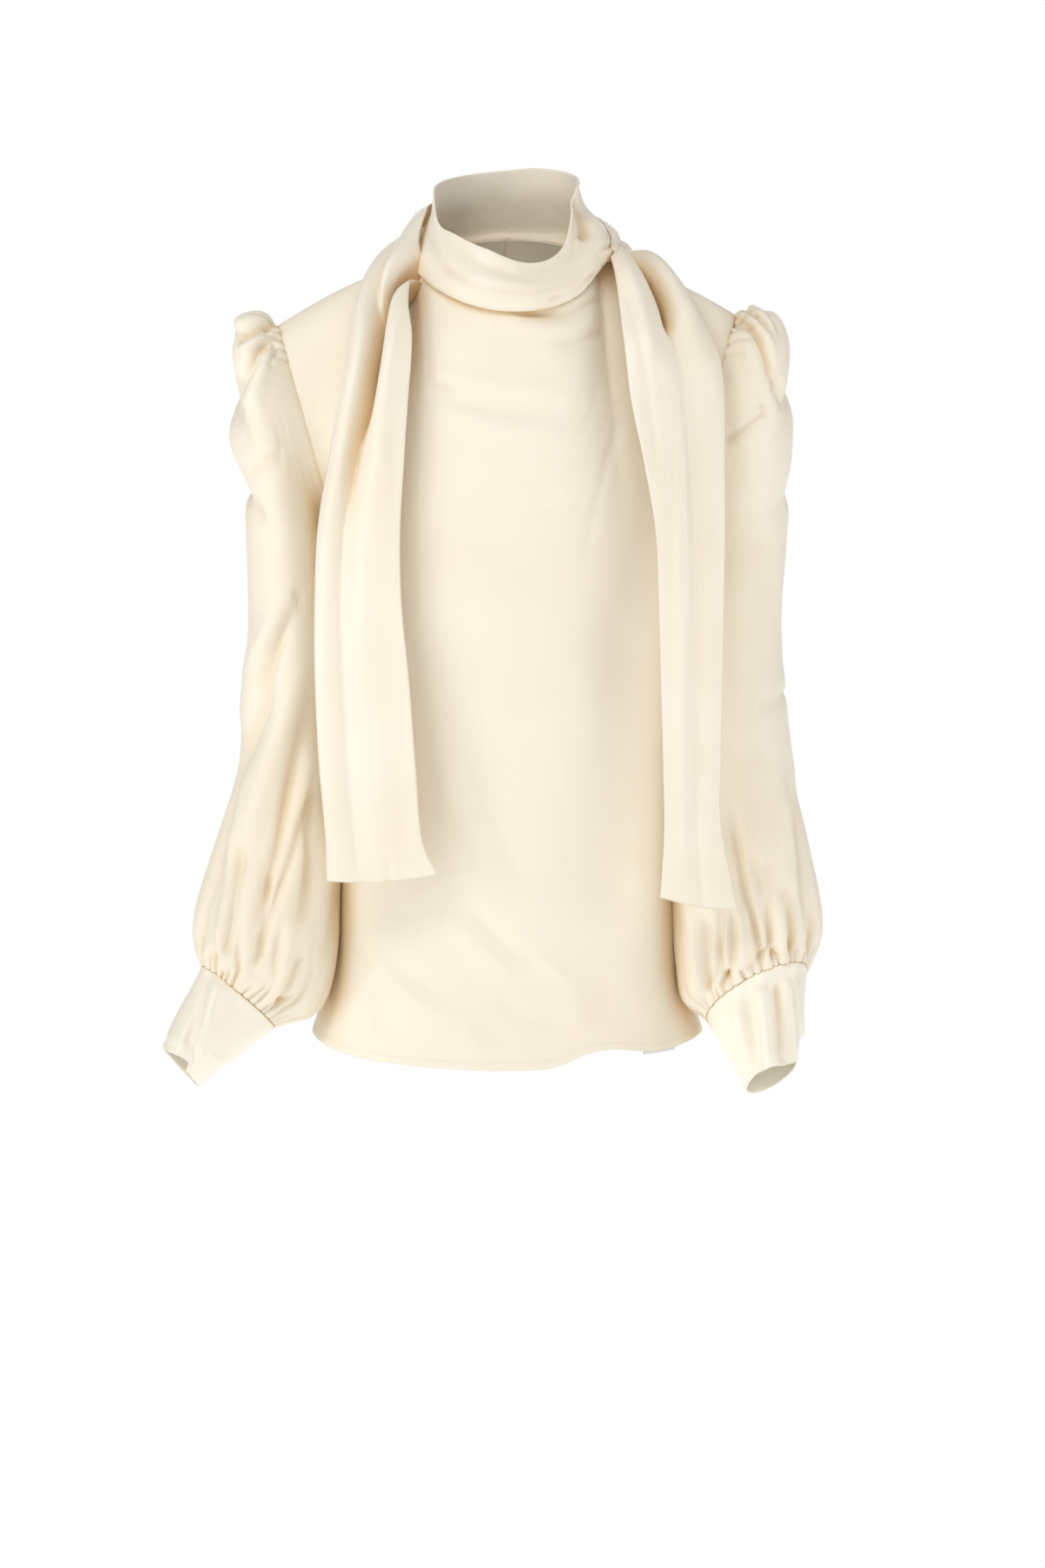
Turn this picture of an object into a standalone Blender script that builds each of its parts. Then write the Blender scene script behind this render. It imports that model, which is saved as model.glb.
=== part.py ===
"""Silk blouse: scarf collar with two long ties, gathered sleeve heads, bishop sleeves and deep cuffs.

It is modelled as it hangs when worn, hollow, in metres with +Z up. The front faces -Y and the
wearer's left is +X. The origin is the middle of the neck, level with the tops of the shoulders.
Run it with: blender --background --python part.py
Every size below is in millimetres; MM turns it into metres when a mesh is made.
"""

import math

import bpy
import numpy as np
from mathutils import Vector
from mathutils.bvhtree import BVHTree

MM = 0.001

# Cloth
CLOTH = 1.2  # wall of a single layer
DOUBLE_CLOTH = 1.8  # wall of collar, ties and cuffs, which are two layers
SEAM_GAP = 0.4  # between the walls of two pieces that are sewn together
REST_GAP = 0.5  # between the walls of two pieces that lie on each other
REST_REACH = 14.0  # how far under a piece a point may be and still be lifted off it

# Body
HEM_Z = -650.0
HEM_DIP_REACH = 150.0  # height over which the uneven hem of the front evens out
ARMPIT_Z = -212.0
NECK_HALF_WIDTH = 74.0
NECK_FRONT = 76.0
NECK_BACK = 62.0
NECK_POINT_Z = 8.0
NECK_FRONT_DROP = 35.0
NECK_BACK_RISE = 14.0
SHOULDER_HALF_WIDTH = 192.0
SHOULDER_DROP = 51.0
SHOULDER_CROWN = 6.5
SHOULDER_LEAN = 0.022  # the wearer's left shoulder is this much higher for each millimetre across
NECK_SHARE = 0.42  # share of a panel's half width that ends on the neckline
SECTION_SQUARENESS = 0.035
SLIT_LENGTH = 150.0
SLIT_HALF_WIDTH = 1.2

BODY_SECTIONS = [
    # z, half_width, front_depth, back_depth
    dict(z=-650, half_width=167, front=110, back=113),
    dict(z=-600, half_width=153, front=106, back=109),
    dict(z=-545, half_width=146, front=104, back=104),
    dict(z=-430, half_width=142, front=105, back=97),
    dict(z=-340, half_width=143, front=116, back=99),
    dict(z=-270, half_width=146, front=124, back=104),
    dict(z=-212, half_width=150, front=121, back=108),
]

HEM_LINE = [
    # s is the place across the front panel from side seam to side seam, down is below HEM_Z
    dict(s=-1.0, down=0),
    dict(s=-0.75, down=3),
    dict(s=-0.55, down=7),
    dict(s=-0.32, down=10),
    dict(s=0.0, down=12),
    dict(s=0.15, down=10),
    dict(s=0.28, down=-2),
    dict(s=0.51, down=2),
    dict(s=0.86, down=-1),
    dict(s=1.0, down=0),
]

# Sleeves: each ring is given by its outermost and innermost points, seen from the front
SLEEVE_SECTIONS = {
    -1: [
        dict(out_x=221, out_z=-205, in_x=155, in_z=-224, mid_y=2, depth=58, lift=0),
        dict(out_x=219, out_z=-290, in_x=150, in_z=-302, mid_y=2, depth=59, lift=0),
        dict(out_x=222, out_z=-365, in_x=148, in_z=-385, mid_y=-2, depth=59, lift=0),
        dict(out_x=240, out_z=-435, in_x=148, in_z=-455, mid_y=-12, depth=58, lift=3),
        dict(out_x=254, out_z=-495, in_x=149, in_z=-517, mid_y=-26, depth=57, lift=6),
        dict(out_x=266, out_z=-545, in_x=152, in_z=-576, mid_y=-40, depth=55, lift=10),
        dict(out_x=265, out_z=-568, in_x=165, in_z=-618, mid_y=-50, depth=47, lift=13),
        dict(out_x=257, out_z=-583, in_x=197, in_z=-635, mid_y=-60, depth=31, lift=12),
    ],
    1: [
        dict(out_x=238, out_z=-205, in_x=156, in_z=-224, mid_y=2, depth=58, lift=0),
        dict(out_x=233, out_z=-290, in_x=151, in_z=-302, mid_y=2, depth=59, lift=0),
        dict(out_x=237, out_z=-365, in_x=148, in_z=-385, mid_y=-2, depth=59, lift=0),
        dict(out_x=246, out_z=-435, in_x=148, in_z=-455, mid_y=-12, depth=58, lift=3),
        dict(out_x=258, out_z=-495, in_x=148, in_z=-517, mid_y=-26, depth=57, lift=8),
        dict(out_x=267, out_z=-545, in_x=151, in_z=-574, mid_y=-42, depth=54, lift=14),
        dict(out_x=264, out_z=-568, in_x=156, in_z=-610, mid_y=-52, depth=47, lift=22),
        dict(out_x=253, out_z=-585, in_x=169, in_z=-626, mid_y=-62, depth=30, lift=24),
    ],
}
CAP_SHARE = 0.36  # share of the sleeve's rings that shape its gathered head
CAP_OUT = (0.86, 0.0, 0.50)  # direction in which the head leaves the top of the armhole
CAP_UNDER = (0.96, 0.0, 0.20)  # and the armpit
CAP_FULLNESS = 1.38
CAP_CROWDING = 0.7  # how closely the points of the head crowd to its top
CAP_ROW_CROWDING = 1.35  # how closely its rows crowd to the armhole
CAP_PLEATS = 9
CAP_PLEAT_ARC = 45.0  # degrees to each side of the top
CAP_PLEAT_DEPTH = 2.0
CUFF_GATHERS = 23
CUFF_GATHER_DEPTH = 1.6
MERGED_GATHERS = 11  # wider folds into which the gathers run together higher up
MERGED_GATHER_DEPTH = 4.5

# Cuffs: the free edge, by its two ends seen from the front
CUFF_EDGES = {
    -1: dict(out_x=290, out_z=-649, in_x=261, in_z=-681, mid_y=-84, depth=40, lift=14),
    1: dict(out_x=244, out_z=-662, in_x=202, in_z=-683, mid_y=-84, depth=39, lift=20),
}

# Folds: each is a line on a piece from (u0, v0) to (u1, v1), a ridge if high is above 0
SLEEVE_FOLDS = {
    # u is degrees round from the outside through the front, v is the share down the sleeve
    -1: [
        dict(u0=-8, v0=0.07, u1=14, v1=0.13, width=13, high=4.0),
        dict(u0=-2, v0=0.15, u1=40, v1=0.21, width=10, high=-6.0),
        dict(u0=-20, v0=0.235, u1=25, v1=0.26, width=14, high=10.0),
        dict(u0=-30, v0=0.295, u1=50, v1=0.33, width=10, high=-17.0),
        dict(u0=150, v0=0.52, u1=60, v1=0.72, width=15, high=-8.0),
        dict(u0=60, v0=0.72, u1=30, v1=0.87, width=13, high=-9.0),
        dict(u0=150, v0=0.62, u1=95, v1=0.90, width=12, high=-10.0),
        dict(u0=165, v0=0.75, u1=140, v1=0.95, width=10, high=-8.0),
        dict(u0=120, v0=0.70, u1=65, v1=0.94, width=11, high=6.0),
        dict(u0=215, v0=0.60, u1=250, v1=0.92, width=13, high=-6.0),
        dict(u0=270, v0=0.55, u1=300, v1=0.93, width=13, high=-6.0),
        dict(u0=330, v0=0.62, u1=338, v1=0.93, width=12, high=-6.0),
    ],
    1: [
        dict(u0=-6, v0=0.06, u1=20, v1=0.14, width=14, high=0.5),
        dict(u0=-20, v0=0.175, u1=30, v1=0.21, width=12, high=-14.0),
        dict(u0=-30, v0=0.31, u1=40, v1=0.33, width=10, high=-7.0),
        dict(u0=30, v0=0.36, u1=110, v1=0.30, width=9, high=-3.0),
        dict(u0=25, v0=0.66, u1=40, v1=0.88, width=12, high=-8.0),
        dict(u0=75, v0=0.74, u1=72, v1=0.95, width=10, high=-8.0),
        dict(u0=100, v0=0.66, u1=95, v1=0.95, width=10, high=-8.0),
        dict(u0=145, v0=0.62, u1=125, v1=0.95, width=12, high=-9.0),
        dict(u0=165, v0=0.78, u1=155, v1=0.96, width=10, high=-5.0),
        dict(u0=215, v0=0.60, u1=240, v1=0.92, width=13, high=-6.0),
        dict(u0=275, v0=0.55, u1=290, v1=0.93, width=13, high=-6.0),
        dict(u0=330, v0=0.62, u1=335, v1=0.93, width=12, high=-6.0),
    ],
}

# Collar: radius and height of four lines, at angles round the neck from the front to the left
COLLAR_SECTIONS = [
    dict(angle=-160, rim=(62, 78), upper=(64, 58), swell=(69, 38), roll=(71, 24)),
    dict(angle=-135, rim=(61, 75), upper=(63, 55), swell=(70, 35), roll=(74, 20)),
    dict(angle=-110, rim=(60, 71), upper=(62, 52), swell=(70, 31), roll=(76, 15)),
    dict(angle=-90, rim=(61, 64), upper=(63, 46), swell=(72, 26), roll=(78, 11)),
    dict(angle=-72, rim=(61, 43), upper=(65, 33), swell=(75, 17), roll=(80, 3)),
    dict(angle=-40, rim=(64, 31), upper=(70, 20), swell=(83, 0), roll=(84, -14)),
    dict(angle=-15, rim=(69, 21), upper=(76, 8), swell=(87, -10), roll=(86, -25)),
    dict(angle=16, rim=(71, 9), upper=(79, -2), swell=(88, -15), roll=(86, -28)),
    dict(angle=32, rim=(70, 13), upper=(78, 1), swell=(87, -13), roll=(85, -24)),
    dict(angle=46, rim=(67, 25), upper=(72, 11), swell=(86, -5), roll=(85, -16)),
    dict(angle=60, rim=(63, 50), upper=(64, 30), swell=(84, 9), roll=(86, -3)),
    dict(angle=75, rim=(60, 70), upper=(58, 50), swell=(80, 25), roll=(85, 11)),
    dict(angle=92, rim=(60, 73), upper=(60, 53), swell=(83, 31), roll=(87, 15)),
    dict(angle=112, rim=(61, 77), upper=(68, 56), swell=(80, 39), roll=(83, 21)),
    dict(angle=135, rim=(62, 80), upper=(66, 60), swell=(75, 40), roll=(78, 24)),
    dict(angle=160, rim=(62, 82), upper=(64, 61), swell=(69, 40), roll=(71, 26)),
    dict(angle=180, rim=(62, 80), upper=(64, 60), swell=(68, 39), roll=(70, 26)),
]
COLLAR_HEIGHTS = [("seam", 0.0), ("roll", 0.2), ("swell", 0.45), ("upper", 0.75), ("rim", 1.0)]
COLLAR_SEAM_IN = 1.5  # from the neckline's edge out to the line on which the collar is sewn

# Ties: the two edges of each, from the back of the neck over the shoulder and down the front.
# inn is the edge nearer the neck, out the one nearer the sleeve; crown is the height of the two
# rolled folds that part at groove, a share of the width from the outer edge.
TIE_STATIONS = {
    -1: [
        dict(inn=(-0.2, 67, 50), out=(-0.2, 82, 18), crown=3, groove=0.5),
        dict(inn=(-38, 60, 52), out=(-47, 78, 18), crown=4, groove=0.5),
        dict(inn=(-62, 40, 53), out=(-88, 50, 11), crown=5, groove=0.5),
        dict(inn=(-68, 6, 46), out=(-107, 12, 3), crown=5, groove=0.5),
        dict(inn=(-75, -28, 22), out=(-116, -14, -8), crown=8, groove=0.5),
        dict(inn=(-80, -57, -8), out=(-125, -38, -31), crown=11, groove=0.5),
        dict(inn=(-78, -88, -52), out=(-129, -66, -66), crown=12, groove=0.48),
        dict(inn=(-81, -108, -100), out=(-137, -84, -104), crown=11, groove=0.44),
        dict(inn=(-84, -120, -148), out=(-146, -98, -150), crown=8, groove=0.38),
        dict(inn=(-87, -130, -205), out=(-155, -106, -205), crown=6, groove=0.32),
        dict(inn=(-86, -135, -265), out=(-158, -112, -265), crown=4, groove=0.30),
        dict(inn=(-80, -137, -330), out=(-158, -118, -330), crown=3, groove=0.30),
        dict(inn=(-75, -138, -400), out=(-155, -122, -400), crown=3, groove=0.30),
        dict(inn=(-70, -140, -460), out=(-150, -126, -460), crown=3, groove=0.30),
        dict(inn=(-57, -140, -491), out=(-149, -128, -497), crown=2, groove=0.30),
    ],
    1: [
        dict(inn=(0.2, 67, 50), out=(0.2, 82, 18), crown=3, groove=0.5),
        dict(inn=(38, 61, 49), out=(47, 78, 17), crown=4, groove=0.5),
        dict(inn=(73, 46, 42), out=(94, 50, 10), crown=4, groove=0.5),
        dict(inn=(91, 8, 28), out=(119, 12, 5), crown=4, groove=0.5),
        dict(inn=(93, -26, 10), out=(138, -12, -6), crown=7, groove=0.5),
        dict(inn=(95, -58, -21), out=(157, -34, -31), crown=10, groove=0.5),
        dict(inn=(97, -90, -60), out=(175, -54, -66), crown=9, groove=0.46),
        dict(inn=(102, -106, -100), out=(180, -68, -104), crown=6, groove=0.44),
        dict(inn=(112, -117, -148), out=(180, -84, -150), crown=4, groove=0.44),
        dict(inn=(122, -125, -205), out=(180, -98, -205), crown=3, groove=0.44),
        dict(inn=(125, -129, -265), out=(179, -110, -265), crown=3, groove=0.44),
        dict(inn=(127, -131, -330), out=(178, -116, -330), crown=3, groove=0.44),
        dict(inn=(129, -132, -400), out=(177, -120, -400), crown=3, groove=0.44),
        dict(inn=(130, -134, -455), out=(177, -124, -450), crown=3, groove=0.44),
        dict(inn=(127, -136, -511), out=(191, -126, -521), crown=2, groove=0.44),
    ],
}
TIE_GROOVE_SHARPNESS = 0.95
TIE_CLEARANCE = 3.2  # from the middle of a tie's cloth to the middle of the cloth under it
TIE_SEWN = 0.07  # share of a tie's length over which it rises from the collar it is sewn to

# Label inside the hem
LABEL_WIDTH = 27.0
LABEL_LENGTH = 22.0
LABEL_BELOW_HEM = 3.5
LABEL_X = 130.0
LABEL_THICKNESS = 0.7

# Mesh sizes
PANEL_COLUMNS = 22
PANEL_LOW_ROWS = 9
PANEL_HIGH_ROWS = 9
SLEEVE_POINTS = 46
SLEEVE_GATHER_POINTS = 92
SLEEVE_CAP_ROWS = 9
SLEEVE_ARM_ROWS = 8
SLEEVE_GATHER_ROWS = 3
CUFF_POINTS = 46
CUFF_ROWS = 4
COLLAR_POINTS = 44
COLLAR_ROWS = 9
TIE_COLUMNS = 10
TIE_ROWS = 28
TIE_ROW_CROWDING = 1.35  # how closely its rows crowd to the neck

SILK = (0.93, 0.87, 0.75, 1.0)
SATIN = (0.95, 0.90, 0.79, 1.0)
LABEL_WHITE = (0.90, 0.90, 0.92, 1.0)


# ---------------------------------------------------------------- curves and walls


def through(keys, values, at, period=None):
    """A smooth curve through values at keys, read at `at`: cubic between each two keys, with
    the slope at a key taken from its two neighbours. With a period the ends join."""
    keys = np.asarray(keys, float)
    values = np.asarray(values, float)
    if period:
        keys = np.concatenate([keys[-2:] - period, keys, keys[:2] + period])
        values = np.concatenate([values[-2:], values, values[:2]])
    slopes = np.gradient(values, keys, axis=0)
    at = np.asarray(at, float)
    i = np.clip(np.searchsorted(keys, at, side="right") - 1, 0, len(keys) - 2)
    step = keys[i + 1] - keys[i]
    t = np.clip((at - keys[i]) / step, 0, 1)
    return hermite(t, values[i], slopes[i] * step, values[i + 1], slopes[i + 1] * step)


def hermite(t, start, start_slope, end, end_slope):
    """The cubic from start to end that leaves and arrives along the two slopes."""
    return (
        (2 * t**3 - 3 * t**2 + 1) * start
        + (t**3 - 2 * t**2 + t) * start_slope
        + (3 * t**2 - 2 * t**3) * end
        + (t**3 - t**2) * end_slope
    )


def column(rows, name):
    return np.array([row[name] for row in rows], float)


def ease(x):
    """0 below 0, 1 above 1 and smooth between."""
    x = np.clip(x, 0, 1)
    return x * x * (3 - 2 * x)


def unit(v):
    return v / np.maximum(np.linalg.norm(v, axis=-1, keepdims=True), 1e-9)


def grid_faces(rows, columns, closed=False, left_out=()):
    """The quads of a grid of points; left_out holds the (row, column) of cells to leave open."""
    faces = []
    for r in range(rows - 1):
        for c in range(columns if closed else columns - 1):
            if (r, c) in left_out:
                continue
            d = (c + 1) % columns
            faces.append((r * columns + c, r * columns + d, (r + 1) * columns + d, (r + 1) * columns + c))
    return faces


def normals_of(points, faces):
    """A unit normal at each point, from the faces round it."""
    normals = np.zeros_like(points)
    for face in faces:
        corners = points[list(face)]
        n = np.zeros(3)
        for k in range(1, len(face) - 1):
            n += np.cross(corners[k] - corners[0], corners[k + 1] - corners[0])
        for index in face:
            normals[index] += n
    return unit(normals)


def wall(name, sheet, thickness, colour, roughness, squared=()):
    """A closed solid: the sheet moved out and in by half the thickness along its normals, with
    a rim along every open edge. Each of `squared` is (indices, directions) of points whose rim
    stands square to the seam, so that the next piece can lie close along it."""
    points, faces = sheet
    count = len(points)
    normals = normals_of(points, faces)
    for indices, directions in squared:
        n = normals[indices]
        normals[indices] = unit(n - np.sum(n * directions, axis=-1, keepdims=True) * directions)
    shift = normals * thickness / 2
    solid = [tuple(f) for f in faces]
    solid += [tuple(count + i for i in reversed(f)) for f in faces]
    once = {}
    for face in faces:
        for a, b in zip(face, face[1:] + face[:1]):
            if (b, a) in once:
                del once[b, a]
            else:
                once[a, b] = True
    for a, b in once:
        solid.append((b, a, count + a, count + b))
    mesh = bpy.data.meshes.new(name)
    mesh.from_pydata(np.concatenate([points + shift, points - shift]) * MM, [], solid)
    mesh.validate()
    mesh.shade_smooth()
    mesh.set_sharp_from_angle(angle=math.radians(50))
    mesh.materials.append(finish(name, colour, roughness))
    obj = bpy.data.objects.new(name, mesh)
    bpy.context.scene.collection.objects.link(obj)
    return obj


def finish(name, colour, roughness):
    material = bpy.data.materials.new(name)
    material.use_nodes = True
    shader = material.node_tree.nodes["Principled BSDF"]
    shader.inputs["Base Color"].default_value = colour
    shader.inputs["Roughness"].default_value = roughness
    shader.inputs["Metallic"].default_value = 0.0
    return material


def folds(u, v, rows, u_size, v_size):
    """The height of a table of folds at (u, v). Each is a soft ridge or trough along a line;
    u_size and v_size are the millimetres of one unit of u and of v."""
    height = np.zeros(np.broadcast(u, v).shape)
    for row in rows:
        du = (row["u1"] - row["u0"]) * u_size
        dv = (row["v1"] - row["v0"]) * v_size
        length = math.hypot(du, dv)
        pu = (u - row["u0"]) * u_size
        pv = (v - row["v0"]) * v_size
        along = (pu * du + pv * dv) / length
        beside = (pu * dv - pv * du) / length
        past = np.maximum(np.maximum(-along, along - length), 0)
        width = row["width"]
        height = height + row["high"] * np.exp(-((beside / width) ** 2) - (past / (1.6 * width)) ** 2)
    return height


def lifted(points, under, clearance):
    """The points moved out to at least `clearance` from the sheets of (points, faces) under them."""
    points = np.array(points, float)
    shape = points.shape
    clearances = np.broadcast_to(clearance, shape[:-1]).ravel()
    points = points.reshape(-1, 3)
    for sheet_points, sheet_faces in under:
        tree = BVHTree.FromPolygons([tuple(p) for p in sheet_points], sheet_faces)
        for i, p in enumerate(points):
            near, normal, _, _ = tree.find_nearest(Vector(p))
            height = (Vector(p) - near).dot(normal)
            beside = (Vector(p) - near - normal * height).length
            if beside < 3.0 and -REST_REACH < height < clearances[i]:
                points[i] = np.array(Vector(p) + normal * (clearances[i] - height))
    return points.reshape(shape)


# ---------------------------------------------------------------- body


def section(face, s, z):
    """A point of the body's cross-section at height z. s runs from -1 to 1, side seam to side
    seam, and face is -1 on the front and 1 on the back. A slightly squared ellipse."""
    keys = column(BODY_SECTIONS, "z")
    half_width = through(keys, column(BODY_SECTIONS, "half_width"), z)
    depth = through(keys, column(BODY_SECTIONS, "front" if face < 0 else "back"), z)
    angle = s * math.pi / 2
    square = 1 + SECTION_SQUARENESS * np.sin(2 * angle) ** 2
    x = half_width * np.sin(angle) * square
    y = face * (SEAM_GAP / 2 + depth * np.cos(angle) * square)
    return np.stack(np.broadcast_arrays(x, y, z), axis=-1)


def top_edge(face, s):
    """The upper edge of a panel: the neckline up to NECK_SHARE, then the shoulder seam."""
    share = np.abs(s)
    turn = np.clip(share / NECK_SHARE, 0, 1) * math.pi / 2
    along = np.clip((share - NECK_SHARE) / (1 - NECK_SHARE), 0, 1)
    neck_depth, neck_rise = (NECK_FRONT, -NECK_FRONT_DROP) if face < 0 else (NECK_BACK, NECK_BACK_RISE)
    x = NECK_HALF_WIDTH * np.sin(turn) + (SHOULDER_HALF_WIDTH - NECK_HALF_WIDTH) * along
    y = face * (SEAM_GAP / 2 + neck_depth * np.cos(turn)) - 2 * along
    z = (
        NECK_POINT_Z
        + neck_rise * np.cos(turn) ** 2
        - SHOULDER_DROP * along
        + SHOULDER_CROWN * np.sin(math.pi * along)
        + SHOULDER_LEAN * np.sign(s) * x
    )
    return np.stack([np.sign(s) * x, y, z], axis=-1)


def chest(face, s, t):
    """A point of the panel above the armpits: the cubic from the section at the armpits (t = 0)
    to the top edge (t = 1). It leaves upwards, sweeping forward at the armhole, and arrives
    upwards at the neckline and level across the shoulder."""
    s, t = np.broadcast_arrays(s, t)
    share = np.abs(s)
    sign = np.sign(s)
    start = section(face, s, np.full(s.shape, ARMPIT_Z))
    beside = section(face, np.clip(s + 0.01 * sign, -1, 1), np.full(s.shape, ARMPIT_Z))
    before = section(face, s - 0.01 * sign, np.full(s.shape, ARMPIT_Z))
    out = unit(beside - before + 1e-9)
    sweep = (165.0 * share**5)[..., None]
    up = np.zeros(s.shape + (3,))
    up[..., 2] = 170 - 70 * share**5
    leave = up - out * sweep
    end = top_edge(face, s)
    turn = ease(share / NECK_SHARE)
    arrive = np.stack(
        [
            sign * 14 * share**3,
            -face * (60 + 58 * turn),
            140 - 112 * turn + 10 * share**3,
        ],
        axis=-1,
    )
    return hermite(t[..., None], start, leave, end, arrive)


def dipped(points, face, s):
    """The points lowered as HEM_LINE says, which only the front panel does."""
    if face < 0:
        near = 1 - ease((points[:, 2] - HEM_Z) / HEM_DIP_REACH)
        points[:, 2] -= near * through(column(HEM_LINE, "s"), column(HEM_LINE, "down"), s)
    return points


def panel_points(face, s_values, low, high):
    """The grid of a body panel: level rows up to the armpits, then rows of the chest."""
    rows = []
    for z in np.linspace(HEM_Z, ARMPIT_Z, low)[:-1]:
        rows.append(dipped(section(face, s_values, np.full(s_values.shape, z)), face, s_values))
    for t in np.linspace(0, 1, high):
        rows.append(chest(face, s_values, np.full(s_values.shape, t)))
    return np.array(rows)


def body_sheet(face):
    """(points, faces) of the front (-1) or back (1) panel. The back is slit below the neck."""
    s_values = np.concatenate(
        [
            np.linspace(0, NECK_SHARE, PANEL_COLUMNS // 4 + 1)[:-1],
            np.linspace(NECK_SHARE, 1, PANEL_COLUMNS // 2 - PANEL_COLUMNS // 4 + 1),
        ]
    )
    s_values = np.concatenate([-s_values[:0:-1], s_values])
    left_out = []
    if face > 0:
        half = SLIT_HALF_WIDTH / (NECK_HALF_WIDTH * math.pi / 2 / NECK_SHARE)
        middle = len(s_values) // 2
        s_values = np.concatenate([s_values[:middle], [-half, half], s_values[middle + 1 :]])
    rows = panel_points(face, s_values, PANEL_LOW_ROWS, PANEL_HIGH_ROWS)
    if face > 0:
        top = rows[-1, middle, 2]
        left_out = [(r, middle) for r in range(len(rows) - 1) if rows[r, middle, 2] > top - SLIT_LENGTH]
        for r in range(len(rows)):
            rows[r, middle, 0] = -SLIT_HALF_WIDTH
            rows[r, middle + 1, 0] = SLIT_HALF_WIDTH
    if face > 0:
        rows = rows[:, ::-1]
        left_out = [(r, rows.shape[1] - 2 - c) for r, c in left_out]
    faces = grid_faces(rows.shape[0], rows.shape[1], left_out=left_out)
    return rows.reshape(-1, 3), faces


def armhole(side):
    """The points of the armhole's edge and the directions that lead out of it along the cloth,
    from the shoulder down the front to the armpit and up the back."""
    t = np.linspace(1, 0, PANEL_HIGH_ROWS)
    s = np.full(t.shape, float(side))
    edges, outs = [], []
    for face, order in ((-1, slice(None)), (1, slice(None, None, -1))):
        edge = chest(face, s, t)
        leave = edge - chest(face, s * 0.97, t)
        run = unit(np.gradient(edge, axis=0))
        out = unit(leave - np.sum(leave * run, axis=-1, keepdims=True) * run)
        edges.append(edge[order])
        outs.append(out[order])
    outs[0][-1] = outs[1][0] = unit(outs[0][-1] + outs[1][0])
    outs[0][0] = outs[1][-1] = unit(outs[0][0] + outs[1][-1])
    return np.concatenate([edges[0], edges[1]]), np.concatenate([outs[0], outs[1]])


def make_panel(name, face, sheet):
    points, faces = sheet
    columns = len(points) // (PANEL_LOW_ROWS + PANEL_HIGH_ROWS - 1)
    rows = np.arange(len(points)).reshape(-1, columns)
    across = np.array([0.0, 1.0, 0.0])
    squared = [(rows[:PANEL_LOW_ROWS, [0, -1]].ravel(), across)]
    top = rows[-1]
    squared.append((top[np.abs(points[top, 0]) > NECK_HALF_WIDTH - 1], across))
    for column, side in ((0, face), (-1, -face)):
        _, outs = armhole(side)
        outs = outs[:PANEL_HIGH_ROWS][::-1] if face < 0 else outs[PANEL_HIGH_ROWS:]
        squared.append((rows[PANEL_LOW_ROWS - 1 :, column], outs))
    return wall(name, sheet, CLOTH, SILK, 0.5, squared)


# ---------------------------------------------------------------- sleeves


def head_edge(side, turn):
    """The edge of the sleeve's head, SEAM_GAP out of the armhole: turn is 0 at the shoulder, pi
    at the armpit, and between them it runs down the front, then up the back."""
    edge, out = armhole(side)
    half = np.linspace(0, math.pi, PANEL_HIGH_ROWS)
    keys = np.concatenate([half, half + math.pi + 1e-6])
    at = [np.interp(turn % (2 * math.pi), keys, values[:, k]) for values in (edge, out) for k in range(3)]
    return np.stack(at[:3], -1) + unit(np.stack(at[3:], -1)) * SEAM_GAP, unit(np.stack(at[3:], -1))


def arm_ring(side, place, turn):
    """A ring of the sleeve below its head. place is 0 at the first row of the table and 1 at
    the cuff seam; the ring is an ellipse through the row's outermost and innermost points."""
    rows = SLEEVE_SECTIONS[side]
    keys = np.linspace(0, 1, len(rows))
    at = {name: through(keys, column(rows, name), place) for name in rows[0]}
    return ellipse(side, at, turn)


def ellipse(side, at, turn):
    outer = np.stack([side * at["out_x"], at["mid_y"], at["out_z"]], axis=-1)
    inner = np.stack([side * at["in_x"], at["mid_y"], at["in_z"]], axis=-1)
    middle, reach = (outer + inner) / 2, (outer - inner) / 2
    front = np.stack([0 * at["depth"], -at["depth"], at["lift"]], axis=-1)
    return middle + reach * np.cos(turn)[..., None] + front * np.sin(turn)[..., None]


def sleeve_surface(side, turn, v):
    """A point of the sleeve before its folds: v is 0 at the armhole and 1 at the cuff seam."""
    turn, v = np.broadcast_arrays(turn, v)
    place = np.clip((v - CAP_SHARE) / (1 - CAP_SHARE), 0, 1)
    arm = arm_ring(side, place, turn)
    edge, _ = head_edge(side, turn)
    first = arm_ring(side, np.zeros(turn.shape), turn)
    reach = np.linalg.norm(first - edge, axis=-1, keepdims=True)
    upper = (1 + np.cos(turn))[..., None] / 2
    leave = upper * np.array(CAP_OUT) + (1 - upper) * np.array(CAP_UNDER)
    leave = leave * np.array([side, 1, 1])
    leave[..., 1] -= 0.45 * np.sin(turn)
    share = np.clip(v / CAP_SHARE, 0, 1)[..., None]
    down = np.array([0, 0, -1.0])
    cap = hermite(share, edge, unit(leave) * reach * CAP_FULLNESS, first, down * reach * 0.9)
    return np.where((v < CAP_SHARE)[..., None], cap, arm)


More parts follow.
